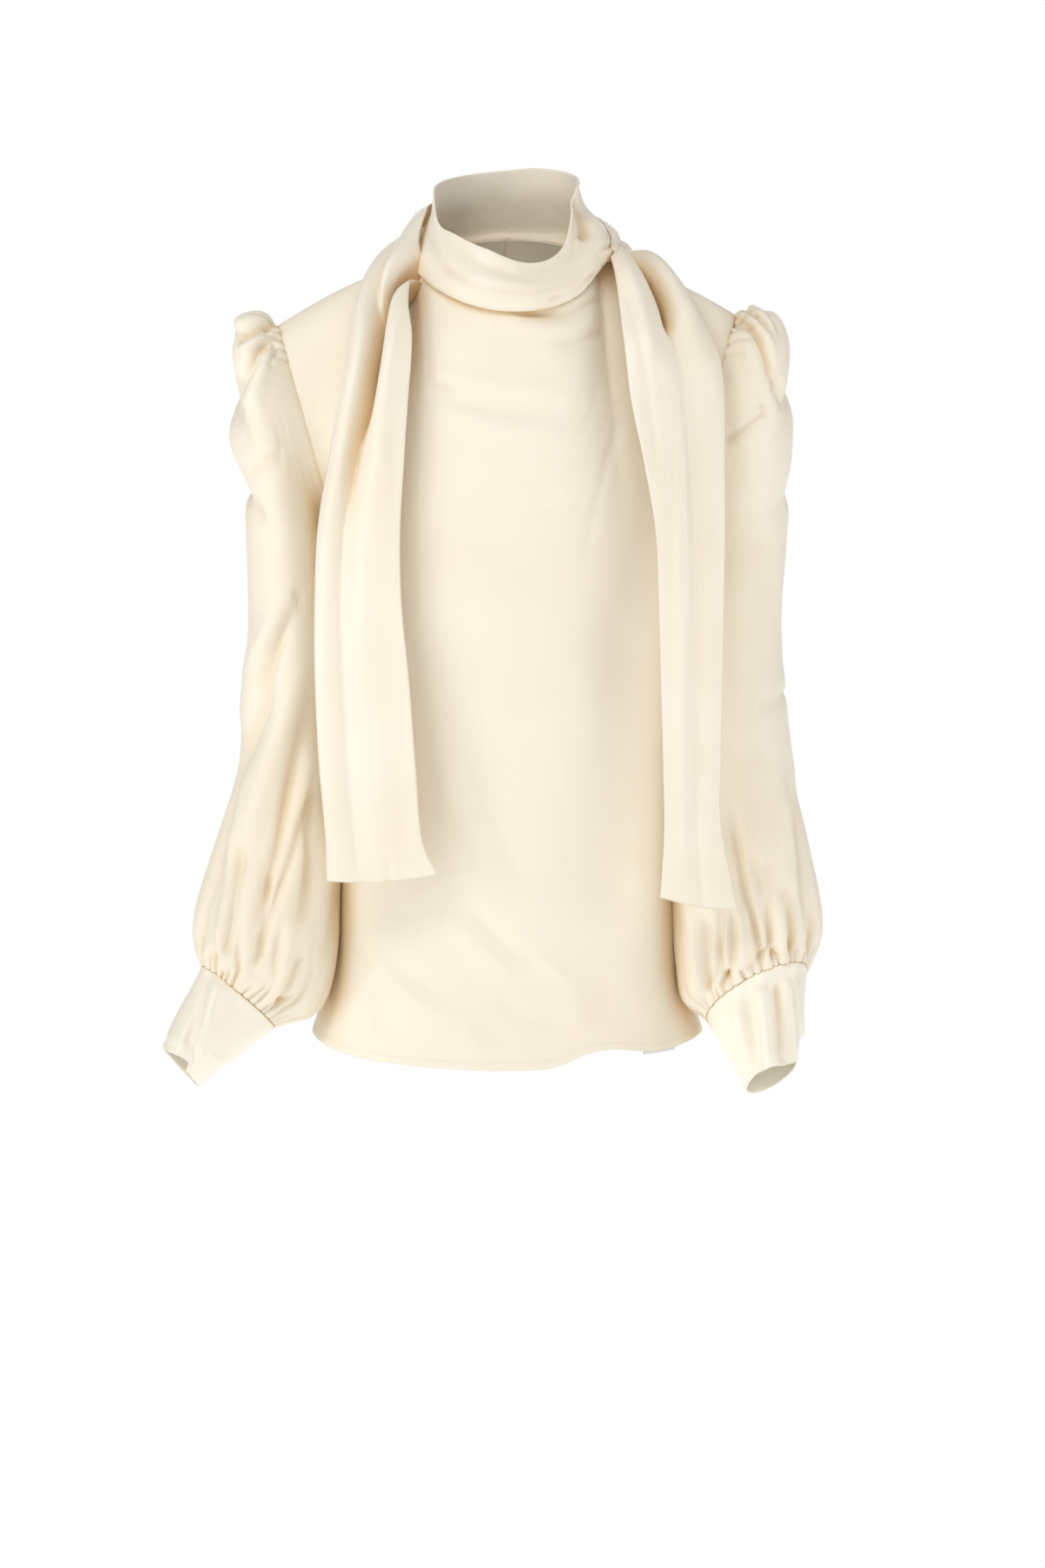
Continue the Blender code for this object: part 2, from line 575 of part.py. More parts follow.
def sleeve_relief(side, turn, v):
    """How far the folds, the pleats of the head and the gathers at the cuff stand out."""
    degrees = np.degrees(turn) % 360
    rows = SLEEVE_FOLDS[side]
    reach = 450.0  # length of a sleeve from head to cuff, for the fold table
    height = np.zeros(np.broadcast(turn, v).shape)
    for wrap in (-360, 0, 360):
        height = height + folds(degrees + wrap, v, rows, 0.9, reach)
    height = height * ease(v / 0.04) * ease((1 - v) / 0.05)
    top = (degrees + 180) % 360 - 180
    pleat = np.cos(top / (2 * CAP_PLEAT_ARC / CAP_PLEATS) * 2 * math.pi)
    pleat = pleat * ease((CAP_PLEAT_ARC + 8 - np.abs(top)) / 12) * (1 - ease((v - 0.02) / 0.14))
    height = height + CAP_PLEAT_DEPTH * pleat * (0.6 + 0.4 * ease(v / 0.02))
    gather = np.cos(CUFF_GATHERS * turn) * ease((v - 0.86) / 0.12)
    uneven = 0.65 + 0.35 * np.sin(3 * turn + 1.0 + side)
    merged = np.cos(MERGED_GATHERS * turn + 0.9 * np.sin(2 * turn + side)) * uneven
    merged = merged * ease((v - 0.64) / 0.22) * ease((1 - v) / 0.10)
    return height + CUFF_GATHER_DEPTH * gather + MERGED_GATHER_DEPTH * merged


def sleeve_sheet(side):
    """(points, faces) of a sleeve. The rings next to the cuff have twice the points."""
    cap = np.linspace(0, 1, SLEEVE_CAP_ROWS) ** CAP_ROW_CROWDING * CAP_SHARE
    arm = np.linspace(CAP_SHARE, 0.90, SLEEVE_ARM_ROWS)[1:]
    gathered = np.linspace(0.90, 1.0, SLEEVE_GATHER_ROWS + 1)[1:]
    rings, faces, first = [], [], [0]
    for v in np.concatenate([cap, arm, gathered]):
        count = SLEEVE_POINTS if v <= 0.901 else SLEEVE_GATHER_POINTS
        share = np.arange(count) / count * 2 * math.pi
        turn = share - CAP_CROWDING * (1 - ease(v / 0.3)) * np.sin(share)
        rings.append((v, turn))
        first.append(first[-1] + count)
    surface = [sleeve_surface(side, turn, np.full(turn.shape, v)) for v, turn in rings]
    for k in range(len(rings) - 1):
        a, b = len(rings[k][1]), len(rings[k + 1][1])
        for i in range(a):
            j = (i + 1) % a
            p, q = first[k] + i, first[k] + j
            if a == b:
                faces.append((p, q, first[k + 1] + j, first[k + 1] + i))
            else:
                left, mid, right = (first[k + 1] + n for n in (2 * i, 2 * i + 1, (2 * i + 2) % b))
                faces += [(p, mid, left), (p, q, mid), (q, right, mid)]
    if side < 0:
        faces = [tuple(reversed(f)) for f in faces]
    points = np.concatenate(surface)
    relief = np.concatenate([sleeve_relief(side, turn, np.full(turn.shape, v)) for v, turn in rings])
    normals = normals_of(points, faces)
    for indices, directions in sleeve_rims(side):
        n = normals[indices]
        normals[indices] = unit(n - np.sum(n * directions, axis=-1, keepdims=True) * directions)
    return points + normals * relief[:, None], faces


def sleeve_rims(side):
    """The indices of the sleeve's two end rings, each with the direction square to its seam."""
    share = np.arange(SLEEVE_POINTS) / SLEEVE_POINTS * 2 * math.pi
    _, out = head_edge(side, share - CAP_CROWDING * np.sin(share))
    return [(np.arange(SLEEVE_POINTS), out), (np.arange(-SLEEVE_GATHER_POINTS, 0), cuff_run(side))]


def make_sleeve(name, side):
    return wall(name, sleeve_sheet(side), CLOTH, SILK, 0.5, sleeve_rims(side))


# ---------------------------------------------------------------- cuffs


def cuff_ring(side, row):
    turn = np.arange(CUFF_POINTS) / CUFF_POINTS * 2 * math.pi
    return ellipse(side, {name: np.float64(value) for name, value in row.items()}, turn)


def cuff_run(side):
    """The direction of the cuff, from the seam to its free edge."""
    start = cuff_ring(side, SLEEVE_SECTIONS[side][-1])
    return unit(cuff_ring(side, CUFF_EDGES[side]).mean(axis=0) - start.mean(axis=0))


def cuff_sheet(side):
    """(points, faces) of a cuff: from the sleeve's last ring to the free edge, where the tube
    is pressed flat the other way."""
    start = cuff_ring(side, SLEEVE_SECTIONS[side][-1]) + cuff_run(side) * SEAM_GAP
    end = cuff_ring(side, CUFF_EDGES[side])
    share = np.linspace(0, 1, CUFF_ROWS + 1)[:, None, None]
    rows = start * (1 - share) + end * share
    faces = grid_faces(CUFF_ROWS + 1, CUFF_POINTS, closed=True)
    if side < 0:
        faces = [tuple(reversed(f)) for f in faces]
    return rows.reshape(-1, 3), faces


def make_cuff(name, side):
    squared = [(np.arange(CUFF_POINTS), cuff_run(side))]
    return wall(name, cuff_sheet(side), DOUBLE_CLOTH, SATIN, 0.35, squared)


# ---------------------------------------------------------------- collar


def collar_surface(angle, height):
    """A point of the collar. angle is in degrees round the neck, 0 in front; height is 0 at
    the neckline seam and 1 at the rim. A smooth curve through the five lines of the table."""
    angle, height = np.broadcast_arrays(angle, height)
    keys = column(COLLAR_SECTIONS, "angle")
    wrapped = (angle + 180) % 360 - 180
    wrapped = np.where(wrapped < -170, wrapped + 360, wrapped)
    front = top_edge(-1, wrapped / 90 * NECK_SHARE)
    back = top_edge(1, (180 - np.abs(wrapped)) / 90 * NECK_SHARE * np.sign(wrapped + 1e-9))
    radians = np.radians(wrapped)
    outward = np.stack([np.sin(radians), -np.cos(radians), 0 * radians], axis=-1)
    lines = [np.where((np.abs(wrapped) <= 90)[..., None], front, back) + outward * COLLAR_SEAM_IN]
    for name, _ in COLLAR_HEIGHTS[1:]:
        radius, level = (through(keys, n, wrapped, period=360) for n in column(COLLAR_SECTIONS, name).T)
        line = outward * radius[..., None]
        line[..., 2] = level
        lines.append(line)
    heights = [h for _, h in COLLAR_HEIGHTS]
    lines = np.array(lines)
    slopes = np.gradient(lines, heights, axis=0)
    k = np.clip(np.searchsorted(heights, height, side="right") - 1, 0, len(heights) - 2)
    low, high = np.array(heights)[k], np.array(heights)[k + 1]
    t = ((height - low) / (high - low))[..., None]
    step = (high - low)[..., None]
    where = np.indices(angle.shape)
    start, end = lines[(k, *where)], lines[(k + 1, *where)]
    return hermite(t, start, slopes[(k, *where)] * step, end, slopes[(k + 1, *where)] * step)


def collar_sheet(under):
    angles = np.arange(COLLAR_POINTS) / COLLAR_POINTS * 360 - 180
    heights = np.linspace(0, 1, COLLAR_ROWS)
    rows = collar_surface(angles[None, :], heights[:, None])
    rows[0] = lifted(rows[0], under, (CLOTH + DOUBLE_CLOTH) / 2 + 3 * SEAM_GAP)
    rows[1:] = lifted(rows[1:], under, (CLOTH + DOUBLE_CLOTH) / 2 + 2 * REST_GAP)
    return rows.reshape(-1, 3), grid_faces(COLLAR_ROWS, COLLAR_POINTS, closed=True)


def make_collar(name, sheet):
    return wall(name, sheet, DOUBLE_CLOTH, SATIN, 0.35)


# ---------------------------------------------------------------- ties


def tie_surface(side, place, across):
    """A point of a tie before it is laid on the body. place runs from 0 at the back of the
    neck to 1 at the free end, across from 0 at the outer edge to 1 at the inner edge."""
    stations = TIE_STATIONS[side]
    keys = np.linspace(0, 1, len(stations))
    outer = np.stack([through(keys, column(stations, "out")[:, k], place) for k in range(3)], -1)
    inner = np.stack([through(keys, column(stations, "inn")[:, k], place) for k in range(3)], -1)
    return outer + (inner - outer) * across[..., None]


def tie_relief(side, place, across):
    """The two rolled folds of a tie, which part at the groove."""
    stations = TIE_STATIONS[side]
    keys = np.linspace(0, 1, len(stations))
    crown = through(keys, column(stations, "crown"), place)
    groove = through(keys, column(stations, "groove"), place)
    share = np.where(across < groove, across / groove, (across - groove) / (1 - groove))
    return crown * np.clip(np.sin(math.pi * np.clip(share, 0, 1)), 0, 1) ** TIE_GROOVE_SHARPNESS


def tie_sheet(side, under):
    rows = np.linspace(0, 1, TIE_ROWS) ** TIE_ROW_CROWDING
    place, across = np.meshgrid(rows, np.linspace(0, 1, TIE_COLUMNS + 1), indexing="ij")
    sewn = DOUBLE_CLOTH + SEAM_GAP
    points = tie_surface(side, place, across)
    points = lifted(points, under, sewn + (TIE_CLEARANCE - sewn) * ease(place / TIE_SEWN))
    faces = grid_faces(TIE_ROWS, TIE_COLUMNS + 1)
    if side < 0:
        faces = [tuple(reversed(f)) for f in faces]
    flat = points.reshape(-1, 3)
    normals = normals_of(flat, faces)
    return flat + normals * tie_relief(side, place, across).reshape(-1, 1), faces


def make_tie(name, sheet):
    squared = [(np.arange(TIE_COLUMNS + 1), np.array([1.0, 0.0, 0.0]))]
    return wall(name, sheet, DOUBLE_CLOTH, SATIN, 0.35, squared)


# ---------------------------------------------------------------- label


def make_label(name):
    """A small label caught in the hem: points of the front panel moved in."""
    width = BODY_SECTIONS[0]["half_width"]
    share = math.asin(LABEL_X / width) / (math.pi / 2)
    half = LABEL_WIDTH / width / (math.pi / 2) / math.cos(share * math.pi / 2) / 2
    s_values = np.linspace(share - half, share + half, 4)
    rows = []
    for up in np.linspace(-LABEL_BELOW_HEM, LABEL_LENGTH - LABEL_BELOW_HEM, 4):
        row = section(-1, s_values, np.full(s_values.shape, HEM_Z + max(up, 0)))
        row = dipped(row, -1, s_values)
        row[:, 2] += min(up, 0)
        rows.append(row)
    points = np.array(rows).reshape(-1, 3)
    faces = grid_faces(4, 4)
    points = points - normals_of(points, faces) * ((CLOTH + LABEL_THICKNESS) / 2 + REST_GAP)
    return wall(name, (points, faces), LABEL_THICKNESS, LABEL_WHITE, 0.6)


# ---------------------------------------------------------------- blouse


def main():
    for obj in list(bpy.data.objects):
        bpy.data.objects.remove(obj)
    front, back = body_sheet(-1), body_sheet(1)
    collar = collar_sheet([front, back])
    tie_right = tie_sheet(-1, [front, back, collar])
    tie_left = tie_sheet(1, [front, back, collar])
    make_panel("front", -1, front)
    make_panel("back", 1, back)
    make_sleeve("sleeve_right", -1)
    make_sleeve("sleeve_left", 1)
    make_cuff("cuff_right", -1)
    make_cuff("cuff_left", 1)
    make_collar("collar", collar)
    make_tie("tie_right", tie_right)
    make_tie("tie_left", tie_left)
    make_label("label")


main()
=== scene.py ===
"""Silk blouse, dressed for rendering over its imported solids.

Every panel is a thin shell on its solid's form, worked out on a fine grid, with the soft
troughs and ridges of hanging silk put on from tables. Sizes in the tables are millimetres;
MM turns them into metres when a mesh is made. +Z is up and the front faces -Y.
"""

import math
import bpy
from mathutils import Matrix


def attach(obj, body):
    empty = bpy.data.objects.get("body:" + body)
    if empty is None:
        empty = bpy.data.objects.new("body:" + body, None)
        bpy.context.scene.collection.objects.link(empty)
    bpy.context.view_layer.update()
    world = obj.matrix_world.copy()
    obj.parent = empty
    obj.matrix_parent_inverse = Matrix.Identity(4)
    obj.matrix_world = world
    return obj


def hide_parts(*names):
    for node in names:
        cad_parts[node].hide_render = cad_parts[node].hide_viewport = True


bl_info = {
    "name": "Silk blouse",
    "version": (1, 0, 0),
    "blender": (4, 5, 0),
    "location": "3D View > Sidebar > Blouse",
    "description": "Builds the panels, sleeves, cuffs, collar, ties and sewing of a silk blouse",
    "category": "Object",
}

import bpy
import numpy as np
from bpy.props import FloatProperty, FloatVectorProperty, PointerProperty
from mathutils import Vector

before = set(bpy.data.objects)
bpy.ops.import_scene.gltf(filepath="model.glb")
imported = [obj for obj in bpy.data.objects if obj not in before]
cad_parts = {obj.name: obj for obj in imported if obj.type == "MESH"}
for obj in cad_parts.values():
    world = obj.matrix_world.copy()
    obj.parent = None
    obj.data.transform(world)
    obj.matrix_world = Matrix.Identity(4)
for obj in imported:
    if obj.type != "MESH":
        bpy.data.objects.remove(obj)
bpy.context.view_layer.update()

MM = 0.001

# ---------------------------------------------------------------- sizes of the solids' form

DOUBLE_CLOTH = 1.8
SEAM_GAP = 0.4
HEM_Z = -650.0
HEM_DIP_REACH = 150.0
HEM_STITCH = 6.0
ARMPIT_Z = -212.0
NECK_HALF_WIDTH = 74.0
NECK_FRONT = 76.0
NECK_BACK = 62.0
NECK_POINT_Z = 8.0
NECK_FRONT_DROP = 35.0
NECK_BACK_RISE = 14.0
SHOULDER_HALF_WIDTH = 192.0
SHOULDER_DROP = 51.0
SHOULDER_CROWN = 6.5
SHOULDER_LEAN = 0.022
SHOULDER_FORWARD = 2.0
NECK_SHARE = 0.42
SECTION_SQUARENESS = 0.035
SLIT_LENGTH = 150.0
SLIT_HALF_WIDTH = 1.2
SLIT_LAP = 1.2

# Body sections: z, half width, depth to the front, depth to the back
BODY_SECTIONS = np.array([
    (-650, 167, 110, 113),
    (-600, 153, 106, 109),
    (-545, 146, 104, 104),
    (-430, 142, 105, 97),
    (-340, 143, 116, 99),
    (-270, 146, 124, 104),
    (-212, 150, 121, 108),
], float)

# Uneven hem of the front: place across from side seam to side seam, drop
HEM_LINE = np.array([
    (-1.0, 0),
    (-0.75, 3),
    (-0.55, 7),
    (-0.32, 10),
    (0.0, 12),
    (0.15, 10),
    (0.28, -2),
    (0.51, 2),
    (0.86, -1),
    (1.0, 0),
], float)

# Sleeve rings: outermost x and z, innermost x and z, middle y, half depth, lift of the front
SLEEVE_SECTIONS = {
    -1: np.array([
        (221, -205, 155, -224, 2, 58, 0),
        (219, -290, 150, -302, 2, 59, 0),
        (222, -365, 148, -385, -2, 59, 0),
        (240, -435, 148, -455, -12, 58, 3),
        (254, -495, 149, -517, -26, 57, 6),
        (266, -545, 152, -576, -40, 55, 10),
        (265, -568, 165, -618, -50, 47, 13),
        (257, -583, 197, -635, -60, 31, 12),
    ], float),
    1: np.array([
        (238, -205, 156, -224, 2, 58, 0),
        (233, -290, 151, -302, 2, 59, 0),
        (237, -365, 148, -385, -2, 59, 0),
        (246, -435, 148, -455, -12, 58, 3),
        (258, -495, 148, -517, -26, 57, 8),
        (267, -545, 151, -574, -42, 54, 14),
        (264, -568, 156, -610, -52, 47, 22),
        (253, -585, 169, -626, -62, 30, 24),
    ], float),
}
CUFF_EDGES = {
    -1: np.array((290, -649, 261, -681, -84, 40, 14), float),
    1: np.array((244, -662, 202, -683, -84, 39, 20), float),
}
CAP_SHARE = 0.36
CAP_OUT = (0.86, 0.0, 0.50)
CAP_UNDER = (0.96, 0.0, 0.20)
CAP_FULLNESS = 1.38
CAP_CROWDING = 0.7

# Large folds of a sleeve: u0, v0, u1, v1, half width, height. u is degrees round from the
# outside through the front, v the share down the sleeve.
SLEEVE_FOLDS = {
    -1: [
        (-8, 0.07, 14, 0.13, 13, 4.0),
        (-2, 0.15, 40, 0.21, 10, -6.0),
        (-20, 0.235, 25, 0.26, 14, 10.0),
        (-30, 0.295, 50, 0.33, 10, -17.0),
        (150, 0.52, 60, 0.72, 15, -8.0),
        (60, 0.72, 30, 0.87, 13, -9.0),
        (150, 0.62, 95, 0.90, 12, -10.0),
        (165, 0.75, 140, 0.95, 10, -8.0),
        (120, 0.70, 65, 0.94, 11, 6.0),
        (215, 0.60, 250, 0.92, 13, -6.0),
        (270, 0.55, 300, 0.93, 13, -6.0),
        (330, 0.62, 338, 0.93, 12, -6.0),
    ],
    1: [
        (-6, 0.06, 20, 0.14, 14, 0.5),
        (-20, 0.175, 30, 0.21, 12, -14.0),
        (-30, 0.31, 40, 0.33, 10, -7.0),
        (30, 0.36, 110, 0.30, 9, -3.0),
        (25, 0.66, 40, 0.88, 12, -8.0),
        (75, 0.74, 72, 0.95, 10, -8.0),
        (100, 0.66, 95, 0.95, 10, -8.0),
        (145, 0.62, 125, 0.95, 12, -9.0),
        (165, 0.78, 155, 0.96, 10, -5.0),
        (215, 0.60, 240, 0.92, 13, -6.0),
        (275, 0.55, 290, 0.93, 13, -6.0),
        (330, 0.62, 335, 0.93, 12, -6.0),
    ],
}

# Collar: angle round the neck, then radius and height of the rim, upper, swell and roll lines
COLLAR_SECTIONS = np.array([
    (-160, 62, 78, 64, 58, 69, 38, 71, 24),
    (-135, 61, 75, 63, 55, 70, 35, 74, 20),
    (-110, 60, 71, 62, 52, 70, 31, 76, 15),
    (-90, 61, 64, 63, 46, 72, 26, 78, 11),
    (-72, 61, 43, 65, 33, 75, 17, 80, 3),
    (-40, 64, 31, 70, 20, 83, 0, 84, -14),
    (-15, 69, 21, 76, 8, 87, -10, 86, -25),
    (16, 71, 9, 79, -2, 88, -15, 86, -28),
    (32, 70, 13, 78, 1, 87, -13, 85, -24),
    (46, 67, 25, 72, 11, 86, -5, 85, -16),
    (60, 63, 50, 64, 30, 84, 9, 86, -3),
    (75, 60, 70, 58, 50, 80, 25, 85, 11),
    (92, 60, 73, 60, 53, 83, 31, 87, 15),
    (112, 61, 77, 68, 56, 80, 39, 83, 21),
    (135, 62, 80, 66, 60, 75, 40, 78, 24),
    (160, 62, 82, 64, 61, 69, 40, 71, 26),
    (180, 62, 80, 64, 60, 68, 39, 70, 26),
], float)
COLLAR_HEIGHTS = np.array([0.0, 0.2, 0.45, 0.75, 1.0])
COLLAR_LINES = ((7, 8), (5, 6), (3, 4), (1, 2))
COLLAR_SEAM_IN = 1.5

# Ties: inner edge x, y, z, outer edge x, y, z, height of the two rolls, place of the groove
TIE_STATIONS = {
    -1: np.array([
        (-0.2, 67, 50, -0.2, 82, 18, 3, 0.5),
        (-38, 60, 52, -47, 78, 18, 4, 0.5),
        (-62, 40, 53, -88, 50, 11, 5, 0.5),
        (-68, 6, 46, -107, 12, 3, 5, 0.5),
        (-75, -28, 22, -116, -14, -8, 8, 0.5),
        (-80, -57, -8, -125, -38, -31, 11, 0.5),
        (-78, -88, -52, -129, -66, -66, 12, 0.48),
        (-81, -108, -100, -137, -84, -104, 11, 0.44),
        (-84, -120, -148, -146, -98, -150, 8, 0.38),
        (-87, -130, -205, -155, -106, -205, 6, 0.32),
        (-86, -135, -265, -158, -112, -265, 4, 0.30),
        (-80, -137, -330, -158, -118, -330, 3, 0.30),
        (-75, -138, -400, -155, -122, -400, 3, 0.30),
        (-70, -140, -460, -150, -126, -460, 3, 0.30),
        (-57, -140, -491, -149, -128, -497, 2, 0.30),
    ], float),
    1: np.array([
        (0.2, 67, 50, 0.2, 82, 18, 3, 0.5),
        (38, 61, 49, 47, 78, 17, 4, 0.5),
        (73, 46, 42, 94, 50, 10, 4, 0.5),
        (84, 8, 30, 119, 12, 5, 4, 0.5),
        (86, -26, 12, 138, -12, -6, 7, 0.5),
        (92, -58, -21, 157, -34, -31, 10, 0.5),
        (97, -90, -60, 175, -54, -66, 9, 0.46),
        (102, -106, -100, 180, -68, -104, 6, 0.44),
        (112, -117, -148, 180, -84, -150, 4, 0.44),
        (122, -125, -205, 180, -98, -205, 3, 0.44),
        (125, -129, -265, 179, -110, -265, 3, 0.44),
        (127, -131, -330, 178, -116, -330, 3, 0.44),
        (129, -132, -400, 177, -120, -400, 3, 0.44),
        (130, -134, -455, 177, -124, -450, 3, 0.44),
        (127, -136, -511, 191, -126, -521, 2, 0.44),
    ], float),
}
CUFF_LENGTH = 75.0
CUFF_NOTCH = {-1: (112, 70, 9, 6.5), 1: (60, 60, 70, -5.0)}
CAP_LENGTH = 160.0
ARM_LENGTH = 625.0
TIE_GROOVE_SHARPNESS = 0.95
TIE_CLEARANCE = 3.2
TIE_SEWN = 0.07
TIE_END_SAG = 2.5

LABEL_WIDTH = 27.0
LABEL_LENGTH = 22.0
LABEL_BELOW_HEM = 4.2
LABEL_X = 130.0
LABEL_THICKNESS = 0.35
LABEL_DEPTH = 1.7
LABEL_FOLD = 0.35
LABEL_WAVE = 0.25

# ---------------------------------------------------------------- creases put on one by one

# Each crease: the points (x, z) that it runs through as seen from the front, its half width at
# its start and end, its height there (below 0 in a trough), and its kind where it isn't soft.
FRONT_CREASES = [
    ([(-66, -92), (-30, -101), (10, -107), (52, -108)], 8, 10, -3.4, -1.8),
    ([(-62, -78), (-15, -88), (45, -94)], 9, 10, 1.8, 1.0),
    ([(-40, -113), (5, -124), (50, -124)], 10, 10, 1.2, 0.8),
    ([(8, -30), (40, -33), (78, -22)], 4, 4, -3.6, -2.4),
    ([(-5, -40), (40, -45), (80, -36)], 6, 6, 1.5, 1.5),
    ([(36, -56), (60, -54), (84, -46)], 4, 4, -1.6, -1.4),
    ([(-78, -110), (-62, -135), (-38, -156), (-2, -166), (34, -160), (60, -130), (78, -85), (84, -50)],
     1.6, 1.6, -0.35, -0.35),
    ([(95, -115), (77, -172), (64, -229)], 4, 4, -1.1, -0.6),
    ([(-86, -186), (13, -188), (113, -190)], 1.6, 1.6, -0.3, -0.3, "sharp"),
    ([(-30, -527), (2, -558), (22, -574)], 8, 10, -2.2, -1.2),
    ([(-45, -536), (-16, -565), (6, -587)], 10, 10, 1.4, 0.9),
    ([(-133, -626), (-118, -595), (-102, -571)], 8, 8, 1.8, 1.1),
    ([(-102, -571), (-60, -602), (-31, -632)], 10, 10, -1.8, -1.2),
    ([(-96, -595), (-45, -617), (-16, -651)], 9, 9, 1.8, 1.4),
    ([(-128, -560), (-108, -610), (-96, -640)], 9, 9, -1.6, -1.1),
    ([(86, -580), (78, -610), (57, -647)], 10, 9, -1.6, -1.2),
    ([(20, -560), (52, -590), (70, -640)], 9, 9, 1.6, 1.2),
    ([(-10, -600), (20, -618), (50, -622)], 7, 7, -1.4, -1.0),
    ([(-59, -403), (-30, -462), (-16, -499)], 12, 12, 2.2, 1.4),
    ([(-37, -389), (-5, -462), (13, -506)], 11, 12, -2.2, -1.4),
    ([(56, -287), (78, -389), (85, -477)], 16, 18, 0.7, 0.5),
    ([(85, -258), (107, -360), (114, -462)], 14, 16, -0.6, -0.5),
    ([(-84, -300), (-76, -380), (-60, -450)], 12, 14, -1.6, -1.2),
]
BACK_CREASES = [
    ([(-70, -180), (0, -192), (60, -190)], 11, 11, -2.2, -1.2),
    ([(-64, -160), (0, -170), (70, -168)], 12, 12, 1.4, 0.8),
    ([(-96, -300), (-10, -318), (60, -310)], 13, 14, -1.8, -1),
    ([(96, -400), (20, -440), (-50, -480)], 13, 15, -2, -1.2),
    ([(90, -420), (24, -462), (-40, -505)], 13, 15, 1.6, 1),
    ([(24, -550), (60, -590), (84, -640)], 10, 10, 1.8, 1.2),
    ([(-84, -640), (-60, -590), (-48, -550)], 9, 9, 1.8, 0.8),
    ([(-110, -640), (-88, -580), (-80, -520)], 10, 12, -1.8, -0.8),
    ([(120, -560), (100, -610), (96, -645)], 9, 10, -1.8, -1.6),
    ([(-20, -250), (-16, -330), (-26, -420)], 18, 20, 1.2, 0.9),
]
